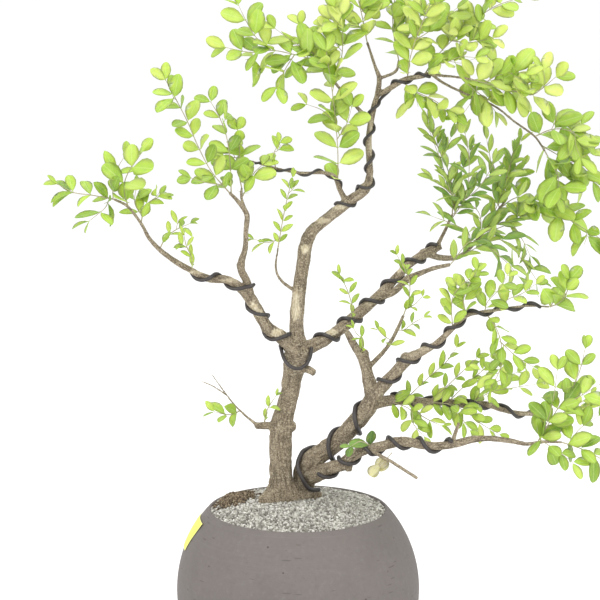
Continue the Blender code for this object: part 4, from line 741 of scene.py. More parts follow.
def bark_finish():
    """Grey-brown bark: dark furrows, partly the bark's own colour and partly painted shade, paler ridges, and
    bare pale wood where it has worn away.
    """
    t = Finish("bark")
    place = t.place()
    grain = t.attribute("grain")
    # Colour by the furrow's depth: the darkest stops, down in the furrows, are partly painted shade
    base = t.ramp(t.fit(grain, -1.0, 1.0),
                  (0.0, BARK_DEEP), (0.22, BARK_DARK), (0.5, BARK), (1.0, BARK_LIGHT))
    base = t.mix(t.attribute("young"), base, YOUNG_BARK)
    mottle = t.use(MOTTLE, place, base, BARK_DARK, BARK_LIGHT, 85.0, 0.95)
    lines = t.noise(t.stretched(place, 1.0, 1.0, 0.22), 900.0, 3.0)
    algae = t.noise(place, 38.0, 3.0)
    grit = t.noise(place, 850.0, 2.5, 0.65)
    pores = t.use(SPECKS, t.stretched(place, 1.0, 1.0, 1.7), 330.0, 0.62, 0.22)[0]
    colour = mottle["Colour"]
    for mask, strength, tint in (
            (t.fit(lines, 0.6, 0.75), 0.4, BARK_LIGHT), (t.fit(algae, 0.6, 0.75), 0.18, (0.17, 0.2, 0.12)),
            (t.fit(grit, 0.5, 0.36), 0.75, BARK_DEEP), (t.fit(grit, 0.56, 0.68), 0.8, BARK_FLECK),
            (pores, 0.55, BARK_FLECK)):
        colour = t.mix(t.times(mask, strength), colour, tint)
    wood = t.mix(t.fit(lines, 0.4, 0.65), BARE_WOOD_DARK, BARE_WOOD)
    height = t.plus(t.times(mottle["Fine"], 0.7), t.times(grit, 0.9))
    return t.done(t.mix(t.attribute("bare"), colour, wood), t.fit(grain, -1.0, 1.0, 0.94, 0.8),
                  (1.0, 1.1 * MM, height))


def leaf_finish(name, dark, middle, light, rib, strength, veins):
    """One of the tree's leaves, fresh, shaded or withered."""
    t = Finish(name)
    face = t.use(LEAF_FACE, dark, middle, light, rib, strength, veins)
    return t.done(face["Colour"], face["Roughness"], (0.35, 0.3 * MM, face["Height"]),
                  Specular_IOR_Level=0.35, Subsurface_Weight=0.3, Subsurface_Radius=(0.8, 1.0, 0.2),
                  Subsurface_Scale=2 * MM)


def plastic_finish():
    """Black net: a weave of strands standing over the gaps."""
    t = Finish("black_net")
    x, y, _ = t.add("ShaderNodeSeparateXYZ", t.place()).outputs
    bars = [t.fit(t.maths("PINGPONG", way, 1.5 * MM), 0.5 * MM, 0.7 * MM) for way in (x, y)]
    strand = t.maths("MAXIMUM", *bars)
    colour = t.mix(strand, (0.004, 0.004, 0.004), (0.03, 0.03, 0.03))
    return t.done(colour, t.fit(strand, 0.0, 1.0, 0.8, 0.45), (0.8, 0.6 * MM, strand))


def soil_finish():
    """Dark crumbly potting mix with pale perlite and bark bits."""
    t = Finish("potting_mix")
    place = t.place()
    mottle = t.use(MOTTLE, place, (0.07, 0.045, 0.028), (0.02, 0.013, 0.008), (0.16, 0.11, 0.07), 190.0, 0.9)
    bits = t.use(SPECKS, place, 260.0, 0.5, 0.08)[0]
    height = t.plus(mottle["Cloud"], t.times(mottle["Fine"], 0.5))
    colour = t.mix(bits, mottle["Colour"], (0.6, 0.58, 0.52))
    return t.done(colour, t.fit(mottle["Fine"], 0.3, 0.7, 0.85, 1.0), (1.0, 2 * MM, height))


def floor_finish():
    """Pale, even studio paint without a sheen."""
    t = Finish("studio_floor")
    cloud = t.noise(t.place(), 2.0, 2.0)
    return t.done(t.mix(cloud, (0.93, 0.93, 0.93), (0.95, 0.95, 0.95)), t.fit(cloud, 0.0, 1.0, 0.95, 1.0),
                  Specular_IOR_Level=0.0)


FINISHES = {
    "clay": clay_finish(),
    "gravel": grain_finish("gravel_grains", (0.17, 0.158, 0.135), (0.46, 0.445, 0.395), (0.78, 0.77, 0.71)),
    "moss": grain_finish("dry_moss", (0.045, 0.031, 0.019), (0.185, 0.135, 0.083), (0.42, 0.34, 0.23)),
    "paper": paper_finish(),
    "bark": bark_finish(),
    "wire": mottled_finish("anodised_wire", (0.02, 0.019, 0.019), (0.058, 0.052, 0.05), (0.15, 0.14, 0.135),
                           90.0, 0.4, (0.2, 0.15 * MM), (0.34, 0.56), by="Fine", Metallic=0.35),
    "leaf": leaf_finish("fresh_leaf", (0.16, 0.28, 0.04), (0.38, 0.56, 0.075), (0.66, 0.75, 0.2),
                        (0.6, 0.7, 0.27), 0.45, 0.2),
    "shade_leaf": leaf_finish("shade_leaf", (0.07, 0.14, 0.033), (0.2, 0.34, 0.075), (0.42, 0.56, 0.13),
                              (0.36, 0.5, 0.16), 0.4, 0.15),
    "dry_leaf": leaf_finish("withered_leaf", (0.33, 0.28, 0.14), (0.56, 0.52, 0.28), (0.68, 0.67, 0.4),
                            (0.72, 0.7, 0.48), 0.5, 0.5),
    "stalk": mottled_finish("green_twig", (0.24, 0.19, 0.12), (0.42, 0.38, 0.23), (0.46, 0.48, 0.26),
                            110.0, 0.8, (0.4, 0.2 * MM), (0.6, 0.8)),
    "net": plastic_finish(),
    "soil": soil_finish(),
    "floor": floor_finish(),
}


# ---------------------------------------------------------------- mesh helpers

def thing(name, data, *finishes):
    """An object in the scene for a mesh, a curve, a light or a camera."""
    made = bpy.data.objects.new(name, data)
    bpy.context.scene.collection.objects.link(made)
    for kind in finishes:
        data.materials.append(FINISHES[kind])
    return made


def mesh_of(name, vertices, faces, places=()):
    """A smooth mesh from points and faces, turned outwards, with the points' flat places if given."""
    mesh = bpy.data.meshes.new(name)
    mesh.from_pydata([tuple(v) for v in vertices], [], faces)
    work = bmesh.new()
    work.from_mesh(mesh)
    bmesh.ops.recalc_face_normals(work, faces=work.faces)
    work.to_mesh(mesh)
    work.free()
    mesh.polygons.foreach_set("use_smooth", [True] * len(mesh.polygons))
    if places:
        layer = mesh.uv_layers.new(name="UVMap")
        for loop in mesh.loops:
            layer.data[loop.index].uv = places[loop.vertex_index]
    return mesh


def applied(made, name, tree=None, **inputs):
    """The object's mesh with its modifiers applied, the last of them a node group with its inputs set."""
    if tree:
        modifier = made.modifiers.new(tree.name, "NODES")
        modifier.node_group = tree
        for item in tree.interface.items_tree:
            key = item.name.replace(" ", "_")
            if key in inputs:
                modifier[item.identifier] = inputs[key]
    view = bpy.context.evaluated_depsgraph_get()
    mesh = bpy.data.meshes.new_from_object(made.evaluated_get(view), preserve_all_data_layers=True,
                                           depsgraph=view)
    mesh.name = name
    bpy.data.objects.remove(made)
    return mesh


def own(made, node):
    """Gives a finished piece its body and hides the CAD node that it stands for."""
    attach(made, "root")
    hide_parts(node)


def clamp(value, low=0.0, high=1.0):
    return max(low, min(high, value))


def turns(count):
    """Even angles all the way round."""
    return [2 * pi * k / count for k in range(count)]


def bands(rings, sides, first=0, closed=False):
    """Faces between rings of points that follow one another, and from the last to the first if closed."""
    faces = []
    following = [*range(1, sides), 0]
    for r in range(rings if closed else rings - 1):
        here, there = first + r * sides, first + (r + 1) % rings * sides
        faces += [(here + k, here + j, there + j, there + k) for k, j in enumerate(following)]
    return faces


def fan(first, sides, tip):
    """Faces from a ring of points to a tip."""
    return [(first + k, first + (k + 1) % sides, tip) for k in range(sides)]


def lathe(profile, sides, wobble):
    """Rings of points around the pot's axis, slightly uneven, joined and closed at both ends."""
    vertices = []
    for radius, height in profile:
        for turn in turns(sides):
            place = Vector((cos(turn), sin(turn), height * 12))
            uneven = wobble * noise.noise(place * 1.3)
            vertices.append(((radius + uneven) * cos(turn), (radius + uneven) * sin(turn), height))
    last = len(vertices)
    vertices += [(0, 0, profile[0][1]), (0, 0, profile[-1][1])]
    return vertices, bands(len(profile), sides) + fan(0, sides, last) + fan(last - sides, sides, last + 1)


# ---------------------------------------------------------------- pot and label

def arc(radius, low, high, steps):
    """Radius and height up a globe of this radius, between two heights, at even angles."""
    start = asin((low - POT_CENTRE) / radius)
    end = asin((high - POT_CENTRE) / radius)
    angles = [start + (end - start) * k / steps for k in range(steps + 1)]
    return [(radius * cos(t), POT_CENTRE + radius * sin(t)) for t in angles]


def make_pot():
    """The thrown globe with its rounded lip, walls and drain holes."""
    inner_radius = POT_RADIUS - POT_WALL
    depth = RIM - (POT_CENTRE + sqrt(inner_radius ** 2 - MOUTH_RADIUS ** 2))
    half = LIP / 2
    foot_edge, foot_share = 0.4 * MM, 0.985
    profile = [(r * foot_share if z < foot_edge else r, z)
               for r, z in arc(POT_RADIUS - 0.25 * MM, 0.0, RIM - half, 46)]
    profile += [(MOUTH_RADIUS + half + half * cos(t), RIM - half + half * sin(t))
                for t in (0.5, 1.05, 1.57, 2.09, 2.62)]
    profile += arc(inner_radius, POT_FLOOR, RIM - depth, 26)[::-1]
    pot = thing("pot_shell", mesh_of("pot_shell", *lathe(profile, POT_SIDES, THROWING_WOBBLE)), "clay")
    for k in range(DRAIN_COUNT):
        angle = 2 * pi * (k + 0.3) / DRAIN_COUNT
        x, y = DRAIN_CIRCLE * cos(angle), DRAIN_CIRCLE * sin(angle)
        vertices = [(x + DRAIN_RADIUS * cos(t), y + DRAIN_RADIUS * sin(t), z)
                    for z in (-POT_FLOOR, 2 * POT_FLOOR) for t in turns(DRAIN_SIDES)]
        ends = [tuple(range(DRAIN_SIDES)), tuple(range(DRAIN_SIDES, 2 * DRAIN_SIDES))]
        drill = thing("drill", mesh_of("drill", vertices, bands(2, DRAIN_SIDES) + ends))
        cut = pot.modifiers.new("drain", "BOOLEAN")
        cut.operation = "DIFFERENCE"
        cut.solver = "EXACT"
        cut.object = drill
        mesh = applied(pot, "pot_shell")
        bpy.data.objects.remove(drill)
        pot = thing("pot_shell", mesh)
    pot.name = "pot_globe"
    own(pot, "pot")


def make_label():
    """A thin paper label that follows the globe, with one corner a little proud of it."""
    columns, rows = LABEL_COLUMNS, LABEL_ROWS
    vertices, places = [], []
    for layer in (0, 1):
        for j in range(rows + 1):
            for i in range(columns + 1):
                u, v = i / columns, j / rows
                latitude = LABEL_LATITUDE + (v - 0.5) * LABEL_HEIGHT / POT_RADIUS
                azimuth = LABEL_AZIMUTH + (u - 0.5) * LABEL_WIDTH / (POT_RADIUS * cos(latitude))
                azimuth += LABEL_SKEW * v
                curl = LABEL_CURL * max(0.0, u + v - 1.55) ** 2 / 0.2
                radius = POT_RADIUS + LABEL_GAP + curl + layer * LABEL_THICK
                vertices.append((radius * cos(latitude) * cos(azimuth), radius * cos(latitude) * sin(azimuth),
                                 POT_CENTRE + radius * sin(latitude)))
                places.append((u, v))

    def at(layer, j, i):
        return (layer * (rows + 1) + j) * (columns + 1) + i

    faces = [(at(k, j, i), at(k, j, i + 1), at(k, j + 1, i + 1), at(k, j + 1, i))
             for j in range(rows) for i in range(columns) for k in (0, 1)]
    faces += [(at(0, j, i), at(0, j, i + 1), at(1, j, i + 1), at(1, j, i))
              for i in range(columns) for j in (0, rows)]
    faces += [(at(0, j, i), at(0, j + 1, i), at(1, j + 1, i), at(1, j, i))
              for j in range(rows) for i in (0, columns)]
    own(thing("paper_label", mesh_of("paper_label", vertices, faces, places), "paper"), "label")


# ---------------------------------------------------------------- gravel and moss

def grit_height(p):
    """Height of the gravel, which mounds up to the middle."""
    away = min(hypot(p.x, p.y) / MOUTH_RADIUS, 1.0)
    return RIM - GRIT_BELOW_RIM + MOUND * (1 - away ** 2)


def collar(grow, height):
    """The root collar's outline at a height, grown outwards."""
    ring = []
    for angle in turns(COLLAR_SIDES):
        lobes = 1 + 0.07 * cos(3 * angle + 0.6) + 0.04 * cos(5 * angle)
        along = (COLLAR_LENGTH * lobes + grow) * cos(angle - COLLAR_TURN)
        short = (COLLAR_DEPTH * lobes + grow) * sin(angle - COLLAR_TURN)
        ring.append(Vector((COLLAR_CENTRE[0] + along * cos(COLLAR_TURN) - short * sin(COLLAR_TURN),
                            COLLAR_CENTRE[1] + along * sin(COLLAR_TURN) + short * cos(COLLAR_TURN), height)))
    return ring


def hidden_collection(name, meshes):
    """A collection of small shapes that stays out of the scene, for instancing."""
    held = bpy.data.collections.new(name)
    for k, mesh in enumerate(meshes):
        held.objects.link(bpy.data.objects.new(f"{name}_{k + 1}", mesh))
    return held


def forget(*collections):
    """Removes instancing collections once they have been used."""
    for held in collections:
        for made in list(held.objects):
            bpy.data.objects.remove(made)
        bpy.data.collections.remove(held)


def angular_grains(name, seed):
    """A few broken, angular stones about one unit across."""
    chance = random.Random(seed)
    shapes = []
    for k in range(GRAIN_SHAPES):
        work = bmesh.new()
        bmesh.ops.create_icosphere(work, subdivisions=1, radius=0.5)
        squash = (chance.uniform(0.75, 1.15), chance.uniform(0.75, 1.1), chance.uniform(0.6, 0.9))
        for v in work.verts:
            v.co *= chance.uniform(0.72, 1.2)
            v.co = Vector((v.co.x * squash[0], v.co.y * squash[1], v.co.z * squash[2]))
        mesh = bpy.data.meshes.new(f"{name}_{k + 1}")
        work.to_mesh(mesh)
        work.free()
        shapes.append(mesh)
    return hidden_collection(name, shapes)


def scatter_tree():
    """Grains strewn over a surface: spacing, size and its spread, how far they stand out, and a seed."""
    t = Group("strewn grains", "GeometryNodeTree", {
        "Geometry": "Geometry", "Shapes": "Collection", "Spacing": 0.002, "Size": 0.003, "Spread": 0.3,
        "Lift": 0.0, "Seed": 1, "Finish": "Material"}, {"Geometry": "Geometry"})
    take = t.given
    spots = t.add("GeometryNodeDistributePointsOnFaces", settings={"distribute_method": "POISSON"},
                  Mesh=take["Geometry"], Distance_Min=take["Spacing"], Density_Max=2.0e6,
                  Seed=take["Seed"]).outputs
    shift = t.vectors("SCALE", spots["Normal"], Scale=take["Lift"])
    stray = t.random("FLOAT_VECTOR", (-0.3 * MM,) * 3, (0.3 * MM,) * 3, take["Seed"])
    moved = t.add("GeometryNodeSetPosition", Geometry=spots["Points"], Offset=t.vectors("ADD", shift, stray))
    size = t.times(take["Size"], t.random("FLOAT", *t.around(1.0, take["Spread"]), 3))
    turn = t.random("FLOAT_VECTOR", (0.0,) * 3, (FULL_TURN,) * 3, 5)
    toned = t.store(moved, "FLOAT", "tone", t.random("FLOAT", 0.0, 1.0, 7))
    grains = t.planted(toned, take["Shapes"], GRAIN_SHAPES - 1, 9, turn, size)
    # The surface under the grains gets a low, dark tone: painted shade in the gaps between the grains
    bed = t.store(take["Geometry"], "FLOAT", "tone", 0.1)
    return t.done(t.coated(t.joined(grains, bed), take["Finish"]))


def make_gravel(scatter, stones):
    """The bed of the gravel ring, with its grains strewn over it."""
    steps, grit_depth, unevenness = 14, 1.6 * MM, 0.9 * MM
    hole = collar(0.6 * MM, 0)
    reach = MOUTH_RADIUS - 1.0 * MM
    rim = [Vector((reach * cos(turn), reach * sin(turn), 0)) for turn in turns(COLLAR_SIDES)]
    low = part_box("gravel")[0].z
    vertices = [Vector((p.x, p.y, low)) for p in hole]
    for s in range(steps + 1):
        for a, b in zip(hole, rim):
            p = a.lerp(b, s / steps)
            bump = unevenness * noise.noise(p * 90)
            vertices.append(Vector((p.x, p.y, grit_height(p) - grit_depth + bump)))
    vertices += [Vector((p.x * 0.985, p.y * 0.985, low)) for p in rim]
    bed = thing("gravel_bed", mesh_of("gravel_bed", vertices, bands(steps + 3, COLLAR_SIDES, closed=True)))
    mesh = applied(bed, "gravel_layer", scatter, Shapes=stones, Spacing=STONE_SPACING, Size=STONE_SIZE,
                   Spread=0.34, Lift=0.55 * MM, Seed=11, Finish=FINISHES["gravel"])
    own(thing("gravel_layer", mesh), "gravel")


def make_moss(scatter, crumbs):
    """A ragged dry patch of moss on the gravel, crumbly all over, with loose tufts around it."""
    low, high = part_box("moss_patch")
    centre = (low + high) / 2
    outwards = Vector((cos(MOSS_AZIMUTH), sin(MOSS_AZIMUTH), 0))
    sideways = Vector((-outwards.y, outwards.x, 0))
    middle = Vector((centre.x, centre.y, 0)) + outwards * MOSS_OUTWARDS * MM

    def oval(angle):
        return outwards * MOSS_BREADTH * cos(angle) + sideways * MOSS_LENGTH * sin(angle)

    def kept(p, margin):
        """The point drawn back to a margin from the pot's lip."""
        return p * min(1.0, (MOUTH_RADIUS - margin * MM) / max(p.length, MM))

    def on_grit(p, lift):
        return Vector((p.x, p.y, grit_height(p) + lift))

    vertices = []
    for r in range(MOSS_RINGS + 1):
        share = 1 - r / (MOSS_RINGS + 1)
        for angle in turns(MOSS_SIDES):
            ragged = 0.92 + 0.42 * noise.noise(Vector((cos(angle) * 2.6, sin(angle) * 2.6, 4.0)))
            flat = kept(middle + oval(angle) * share * ragged, 1.5)
            rise = (high.z - low.z) * 0.45 * sqrt(max(0.0, 1 - share ** 2.5))
            lumps = 1.3 * MM * noise.noise(flat * 190) + 0.6 * MM * noise.noise(flat * 520)
            vertices.append(on_grit(flat, 0.2 * MM + rise + (lumps if r else 0)))
    top = len(vertices)
    last = top - MOSS_SIDES
    vertices += [Vector((middle.x, middle.y, vertices[last].z)), on_grit(middle, -0.5 * MM)]
    faces = bands(MOSS_RINGS + 1, MOSS_SIDES)
    for above, below in zip(fan(last, MOSS_SIDES, top), fan(0, MOSS_SIDES, top + 1)):
        faces += [above, below]
    chance = random.Random(TUFT_SEED)
    for _ in range(LOOSE_TUFTS):
        angle = chance.uniform(0, 2 * pi)
        flat = kept(middle + oval(angle) * chance.uniform(0.95, 1.5), 3)
        size = chance.uniform(1.0, 2.6) * MM
        first = len(vertices)
        for share, lift in ((1.0, 0.2), (0.6, 0.9)):
            for turn in turns(TUFT_SIDES):
                p = flat + Vector((cos(turn), sin(turn), 0)) * size * share * chance.uniform(0.8, 1.2)
                vertices.append(on_grit(p, lift * MM))
        foot = range(first, first + TUFT_SIDES)
        faces += [tuple(k + TUFT_SIDES for k in foot), tuple(reversed(foot))] + bands(2, TUFT_SIDES, first)
    patch = thing("moss", mesh_of("moss", vertices, faces))
    mesh = applied(patch, "moss_crumbs", scatter, Shapes=crumbs, Spacing=CRUMB_SPACING, Size=CRUMB_SIZE,
                   Spread=0.5, Lift=0.1 * MM, Seed=23, Finish=FINISHES["moss"])
    own(thing("moss_crumbs", mesh), "moss_patch")


# ---------------------------------------------------------------- routes

def placed(point):
    """A drawn point in the frame."""
    return Vector((point[0] * MM, point[1] * MM, RIM + point[2] * MM))


def smooth_route(points, values, step):
    """Points and values at even steps along a smooth curve through the given ones."""
    ends = [points[0] * 2 - points[1]] + points + [points[-1] * 2 - points[-2]]
    fine, carried = [], []
    for k in range(len(points) - 1):
        p0, p1, p2, p3 = ends[k:k + 4]
        parts = max(2, round((p2 - p1).length / (step / 4)))
        for j in range(parts):
            t = j / parts
            fine.append(0.5 * (2 * p1 + (p2 - p0) * t + (2 * p0 - 5 * p1 + 4 * p2 - p3) * t * t
                               + (3 * p1 - p0 - 3 * p2 + p3) * t ** 3))
            ease = t * t * (3 - 2 * t)
            carried.append(values[k] + (values[k + 1] - values[k]) * ease)
    fine.append(points[-1])
    carried.append(values[-1])
    lengths = [0.0]
    for a, b in zip(fine, fine[1:]):
        lengths.append(lengths[-1] + (b - a).length)
    count = max(2, round(lengths[-1] / step))
    out, along = [], []
    k = 0
    for j in range(count + 1):
        want = lengths[-1] * j / count
        while k < len(lengths) - 2 and lengths[k + 1] < want:
            k += 1
        share = (want - lengths[k]) / max(lengths[k + 1] - lengths[k], 1e-9)
        out.append(fine[k].lerp(fine[k + 1], share))
        along.append(carried[k] + (carried[k + 1] - carried[k]) * share)
    return out, along


def frames(points):
    """Direction and two crosswise axes at each point, carried along without twist."""
    found = []
    across = None
    for k in range(len(points)):
        ahead = (points[min(k + 1, len(points) - 1)] - points[max(k - 1, 0)]).normalized()
        if across is None:
            across = ahead.cross(Vector((0, 1, 0)))
            if across.length < 0.1:
                across = ahead.cross(Vector((1, 0, 0)))
        across = (across - ahead * across.dot(ahead)).normalized()
        found.append((ahead, across, ahead.cross(across)))
    return found


def limb_routes():
    """The centre line and diameters of every limb, each one starting on its parent's centre line."""
    routes = {}
    for name, (parent, drawn) in LIMBS.items():
        points = [placed(p) for p in drawn]
        if parent:
            points[0] = min(routes[parent][0], key=lambda p: (p - points[0]).length)
        routes[name] = smooth_route(points, [p[3] * MM for p in drawn], ROUTE_STEP)
    return routes


def curves(name, lines):
    """A curve object with one open spline for each (points, radii)."""
    data = bpy.data.curves.new(name, "CURVE")
    data.dimensions = "3D"
    for points, radii in lines:
        spline = data.splines.new("POLY")
        spline.points.add(len(points) - 1)
        for made, p, r in zip(spline.points, points, radii):
            made.co = (*p, 1.0)
            made.radius = r
    return thing(name, data)


def tube_tree():
    """Round tubes along curves, as thick as the curves' radius, with a number of sides."""
    t = Group("tubes along curves", "GeometryNodeTree", {
        "Geometry": "Geometry", "Sides": 12, "Finish": "Material"}, {"Geometry": "Geometry"})
    return t.done(t.tubes(t.given["Geometry"], t.given["Sides"], t.given["Finish"]))


# ---------------------------------------------------------------- wood

def flare():
    """The spreading foot of the trunk, with ridges where its roots go down."""
    trunk = placed(LIMBS["trunk"][1][2])
    radius = LIMBS["trunk"][1][2][3] / 2 * MM
    surface = RIM + MOUND + 1 * MM
    levels = [(RIM - COLLAR_FOOT, 1.0), (RIM, 1.0), (surface, 1.0)]
    levels += [(surface + (RIM + FLARE_HEIGHT - surface) * s, (1 - s) ** 1.8)
               for s in (0.1, 0.2, 0.3, 0.45, 0.6, 0.8, 1.0)]
    vertices = []
    for height, ease in levels:
        for angle, p in zip(turns(COLLAR_SIDES), collar(-0.6 * MM, height)):
            slim = Vector((trunk.x + radius * cos(angle), trunk.y + radius * sin(angle), height))
            ridge = 1 + ROOT_RIDGE * sin(ROOT_RIDGES * angle + 1.3) * ease
            spread = slim.lerp(p, ease)
            middle = Vector((trunk.x, trunk.y, height)).lerp(Vector((*COLLAR_CENTRE, height)), ease)
            vertices.append(middle + (spread - middle) * min(ridge, 1.03))
    ends = [tuple(range(COLLAR_SIDES)), tuple(range(len(vertices) - COLLAR_SIDES, len(vertices)))]
    return vertices, bands(len(levels), COLLAR_SIDES) + ends


def make_wood(routes, tubes):
    """Trunk, limbs and twigs: tubes, foot and knobs melted into one skin, then furrowed as bark."""
    lines = [(points, [w / 2 for w in widths]) for points, widths in routes.values()]
    work = bmesh.new()
    rough = curves("rough_wood", lines)
    work.from_mesh(applied(rough, "rough_wood", tubes, Sides=WOOD_SIDES, Finish=FINISHES["bark"]))
    work.from_mesh(mesh_of("foot", *flare()))
    for x, y, height, width in KNOBS:
        ball = Matrix.Translation(placed((x, y, height))) @ Matrix.Diagonal((1, 1, 0.8, 1))
        bmesh.ops.create_uvsphere(work, u_segments=20, v_segments=12, radius=width / 2 * MM * 0.96,
                                  matrix=ball)
    mesh = bpy.data.meshes.new("wood_core")
    work.to_mesh(mesh)
    work.free()
    core = thing("wood_core", mesh)
    melt = core.modifiers.new("melt", "REMESH")
    melt.mode = "VOXEL"
    melt.voxel_size = WOOD_VOXEL
    melt.use_smooth_shade = True
    soften = core.modifiers.new("soften", "SMOOTH")
    soften.factor = 0.5
    soften.iterations = 3
    mesh = applied(core, "wood")
    furrow(mesh, routes)
    mesh.materials.clear()
    own(thing("bark_and_wood", mesh, "bark"), "trunk_and_limbs")
    return BVHTree.FromPolygons([v.co.copy() for v in mesh.vertices],
                                [tuple(p.vertices) for p in mesh.polygons])


def bareness(spot):
    """How far a spot of bark is worn to pale wood."""
    worn = 0.0
    for x, y, z, wide, deep, tall, strength in BARE_PATCHES:
        away = (spot - placed((x, y, z))) / MM
        if abs(away.x) > 1.5 * wide or abs(away.z) > 1.5 * tall:
            continue
        reach = sqrt((away.x / wide) ** 2 + (away.y / deep) ** 2 + (away.z / tall) ** 2)
        edge = 1 + 0.3 * noise.noise(spot * 220) + 0.35 * noise.noise(spot * 520)
        worn = max(worn, strength * clamp((edge - reach) * 3.5))
    return worn


def furrow(mesh, routes):
    """Pushes the skin in and out along each limb's grain, and notes where it is bare or young."""
    samples = []
    for number, (points, widths) in enumerate(routes.values()):
        for k, ((ahead, _, _), p, w) in enumerate(zip(frames(points), points, widths)):
            samples.append((p, ahead, w, number * 3.7 + k * ROUTE_STEP * 100))
    tree = KDTree(len(samples))
    for k, sample in enumerate(samples):
        tree.insert(sample[0], k)
    tree.balance()
    notes = {"grain": [], "bare": [], "young": []}
    moved = []
    for v in mesh.vertices:
        near = [(away / samples[k][2], order, k) for order, (_, k, away) in enumerate(tree.find_n(v.co, 4))]
        p, ahead, width, along = samples[min(near)[2]]
        offset = v.co - p
        run = along + offset.dot(ahead) / MM * 0.1
        spot = (offset - ahead * offset.dot(ahead)) / MM
        low = noise.noise(spot * 0.3 + Vector((0, 0, run * 0.33)))
        mid = noise.noise(spot * 0.75 + Vector((3.1, run * 0.9, 0)))
        crack = abs(noise.noise(spot * 0.45 + Vector((run * 0.55, 7.7, 0))))
        knobbly = noise.noise(v.co * 130)
        value = clamp(0.45 * low + 0.5 * mid + 0.7 * (min(crack * 4, 1.0) - 0.6) + 0.45 * knobbly, -1.0)
        depth = min(FURROW_SHARE * width, FURROW_DEPTH)
        hollow = bareness(v.co)
        near_foot = 1.0 - clamp((v.co.z - RIM - FOOT_CALM) / FOOT_FADE)
        lift = depth * value * (1 - 0.75 * hollow) - WORN_DEPTH * hollow * (1 if width > 12 * MM else 0.3)
        moved.append(v.co + v.normal * lift * (1 - 0.4 * near_foot))
        notes["grain"].append(value)
        notes["bare"].append(hollow)
        notes["young"].append(clamp((YOUNG_WIDTH - width) / YOUNG_FADE) * 0.8)
    for v, p in zip(mesh.vertices, moved):
        v.co = p
    for name, values in notes.items():
        mesh.attributes.new(name, "FLOAT", "POINT").data.foreach_set("value", values)
    mesh.update()


# ---------------------------------------------------------------- wires

def winding(points, widths, begin, end, coils, angle, skin, radius):
    """Turns of wire around a limb, each point just clear of the bark."""
    axes = frames(points)
    steps = max(8, round(abs(coils) * WIRE_TURN_STEPS))
    reach, places = [], []
    for k in range(steps + 1):
        share = (begin + (end - begin) * k / steps) * (len(points) - 1)
        low = min(int(share), len(points) - 2)
        centre = points[low].lerp(points[low + 1], share - low)
        _, u, v = axes[low]
        turn = radians(angle) + 2 * pi * coils * k / steps
        out = u * cos(turn) + v * sin(turn)
        surface = widths[low] / 2
        far = surface * 1.7 + 1.5 * MM
        hit = skin.ray_cast(centre + out * far, -out, far)[0]
        if hit is not None:
            surface = max(surface * 0.8, (hit - centre).length)
        reach.append(surface + radius)
        places.append((centre, out))
    for _ in range(2):
        reach = [max(reach[k], (reach[max(k - 1, 0)] + reach[k] + reach[min(k + 1, steps)]) / 3)
                 for k in range(steps + 1)]
    return [centre + out * r for (centre, out), r in zip(places, reach)]


def wire_line(routes, start, windings, skin, radius):
    """The wire's centre line: its start, then its turns, each lying against the bark."""
    line = []
    for limb, begin, end, coils, angle in windings:
        line += winding(*routes[limb], begin, end, coils, angle, skin, radius)
    if start:
        head = [placed(p) for p in start]
        line = smooth_route(head + line[:1], [0] * (len(head) + 1), 3 * MM)[0][:-1] + line
    for _ in range(3):
        eased = [(a + b * 2 + c) / 4 for a, b, c in zip(line, line[1:], line[2:])]
        line = [line[0], *eased, line[-1]]
        for k, p in enumerate(line):
            place, normal, _, away = skin.find_nearest(p)
            inside = (p - place).dot(normal) < 0
            if inside or away < radius * WIRE_PRESS:
                push = (place - p) if inside else (p - place)
                line[k] = place + push.normalized() * radius * WIRE_PRESS
    return line


def make_wires(routes, tubes, skin):
    """Every training wire, round and close against the bark."""
    for name, (width, start, windings) in WIRES.items():
        radius = width / 2 * MM
        line = wire_line(routes, start, windings, skin, radius)
        smooth, _ = smooth_route(line, [0] * len(line), WIRE_STEP)
        radii = [radius] * len(smooth)
        radii[0] = radii[-1] = radius * WIRE_END
        coil = curves(f"{name}_coil", [(smooth, radii)])
        mesh = applied(coil, f"{name}_coil", tubes, Sides=WIRE_SIDES, Finish=FINISHES["wire"])
        own(thing(f"{name}_coil", mesh), name)


# ---------------------------------------------------------------- leafy twigs

def blade(name, belly, fold, curl, twist, wave, point):
    """A closed leaf blade one unit long and wide on a short stalk, folded at its midrib and curling down."""
    vertices, places, grid = [], [], []
    for t in BLADE_ROWS:
        s = max(0.0, (t - STALK_SHARE) / BLADE_SHARE)
        if s < belly:
            half = 0.5 * sin(pi / 2 * s / belly) ** 0.8
        else:
            half = 0.5 * max(0.0, 1 - ((s - belly) / (1 - belly)) ** 2) ** point
        half = max(half, 0.03)
        turn = twist * t
        row = []
        for c, lift in BLADE_POINTS:
            x = half * c
            z = fold * abs(x) - curl * t * t + wave * sin(8 * t + 2 * c) * abs(c)
            row.append(len(vertices))
            vertices.append(Vector((x * cos(turn) - z * sin(turn), t, x * sin(turn) + z * cos(turn) + lift)))
            places.append(((c + 1) / 2, t))
        under = row.pop(BLADE_UNDERSIDE)
        grid.append((row, under))
    faces = []
    for (a, under_a), (b, under_b) in zip(grid, grid[1:]):
        faces += [(a[k], a[k + 1], b[k + 1], b[k]) for k in range(len(a) - 1)]
        faces += [(a[0], b[0], under_b, under_a), (a[-1], under_a, under_b, b[-1])]
    faces += [(*top, under) for top, under in (grid[0], grid[-1])]
    return mesh_of(name, vertices, faces, places)


def blade_collection(name, belly, point, chance):
    """Leaves of one kind, each folded and curled its own way."""
    return hidden_collection(name, [
        blade(f"{name}_{k + 1}", belly, chance.uniform(0.08, 0.34), chance.uniform(0.02, 0.16),
              chance.uniform(-0.3, 0.3), chance.uniform(0.0, 0.025), point) for k in range(BLADE_SHAPES)])


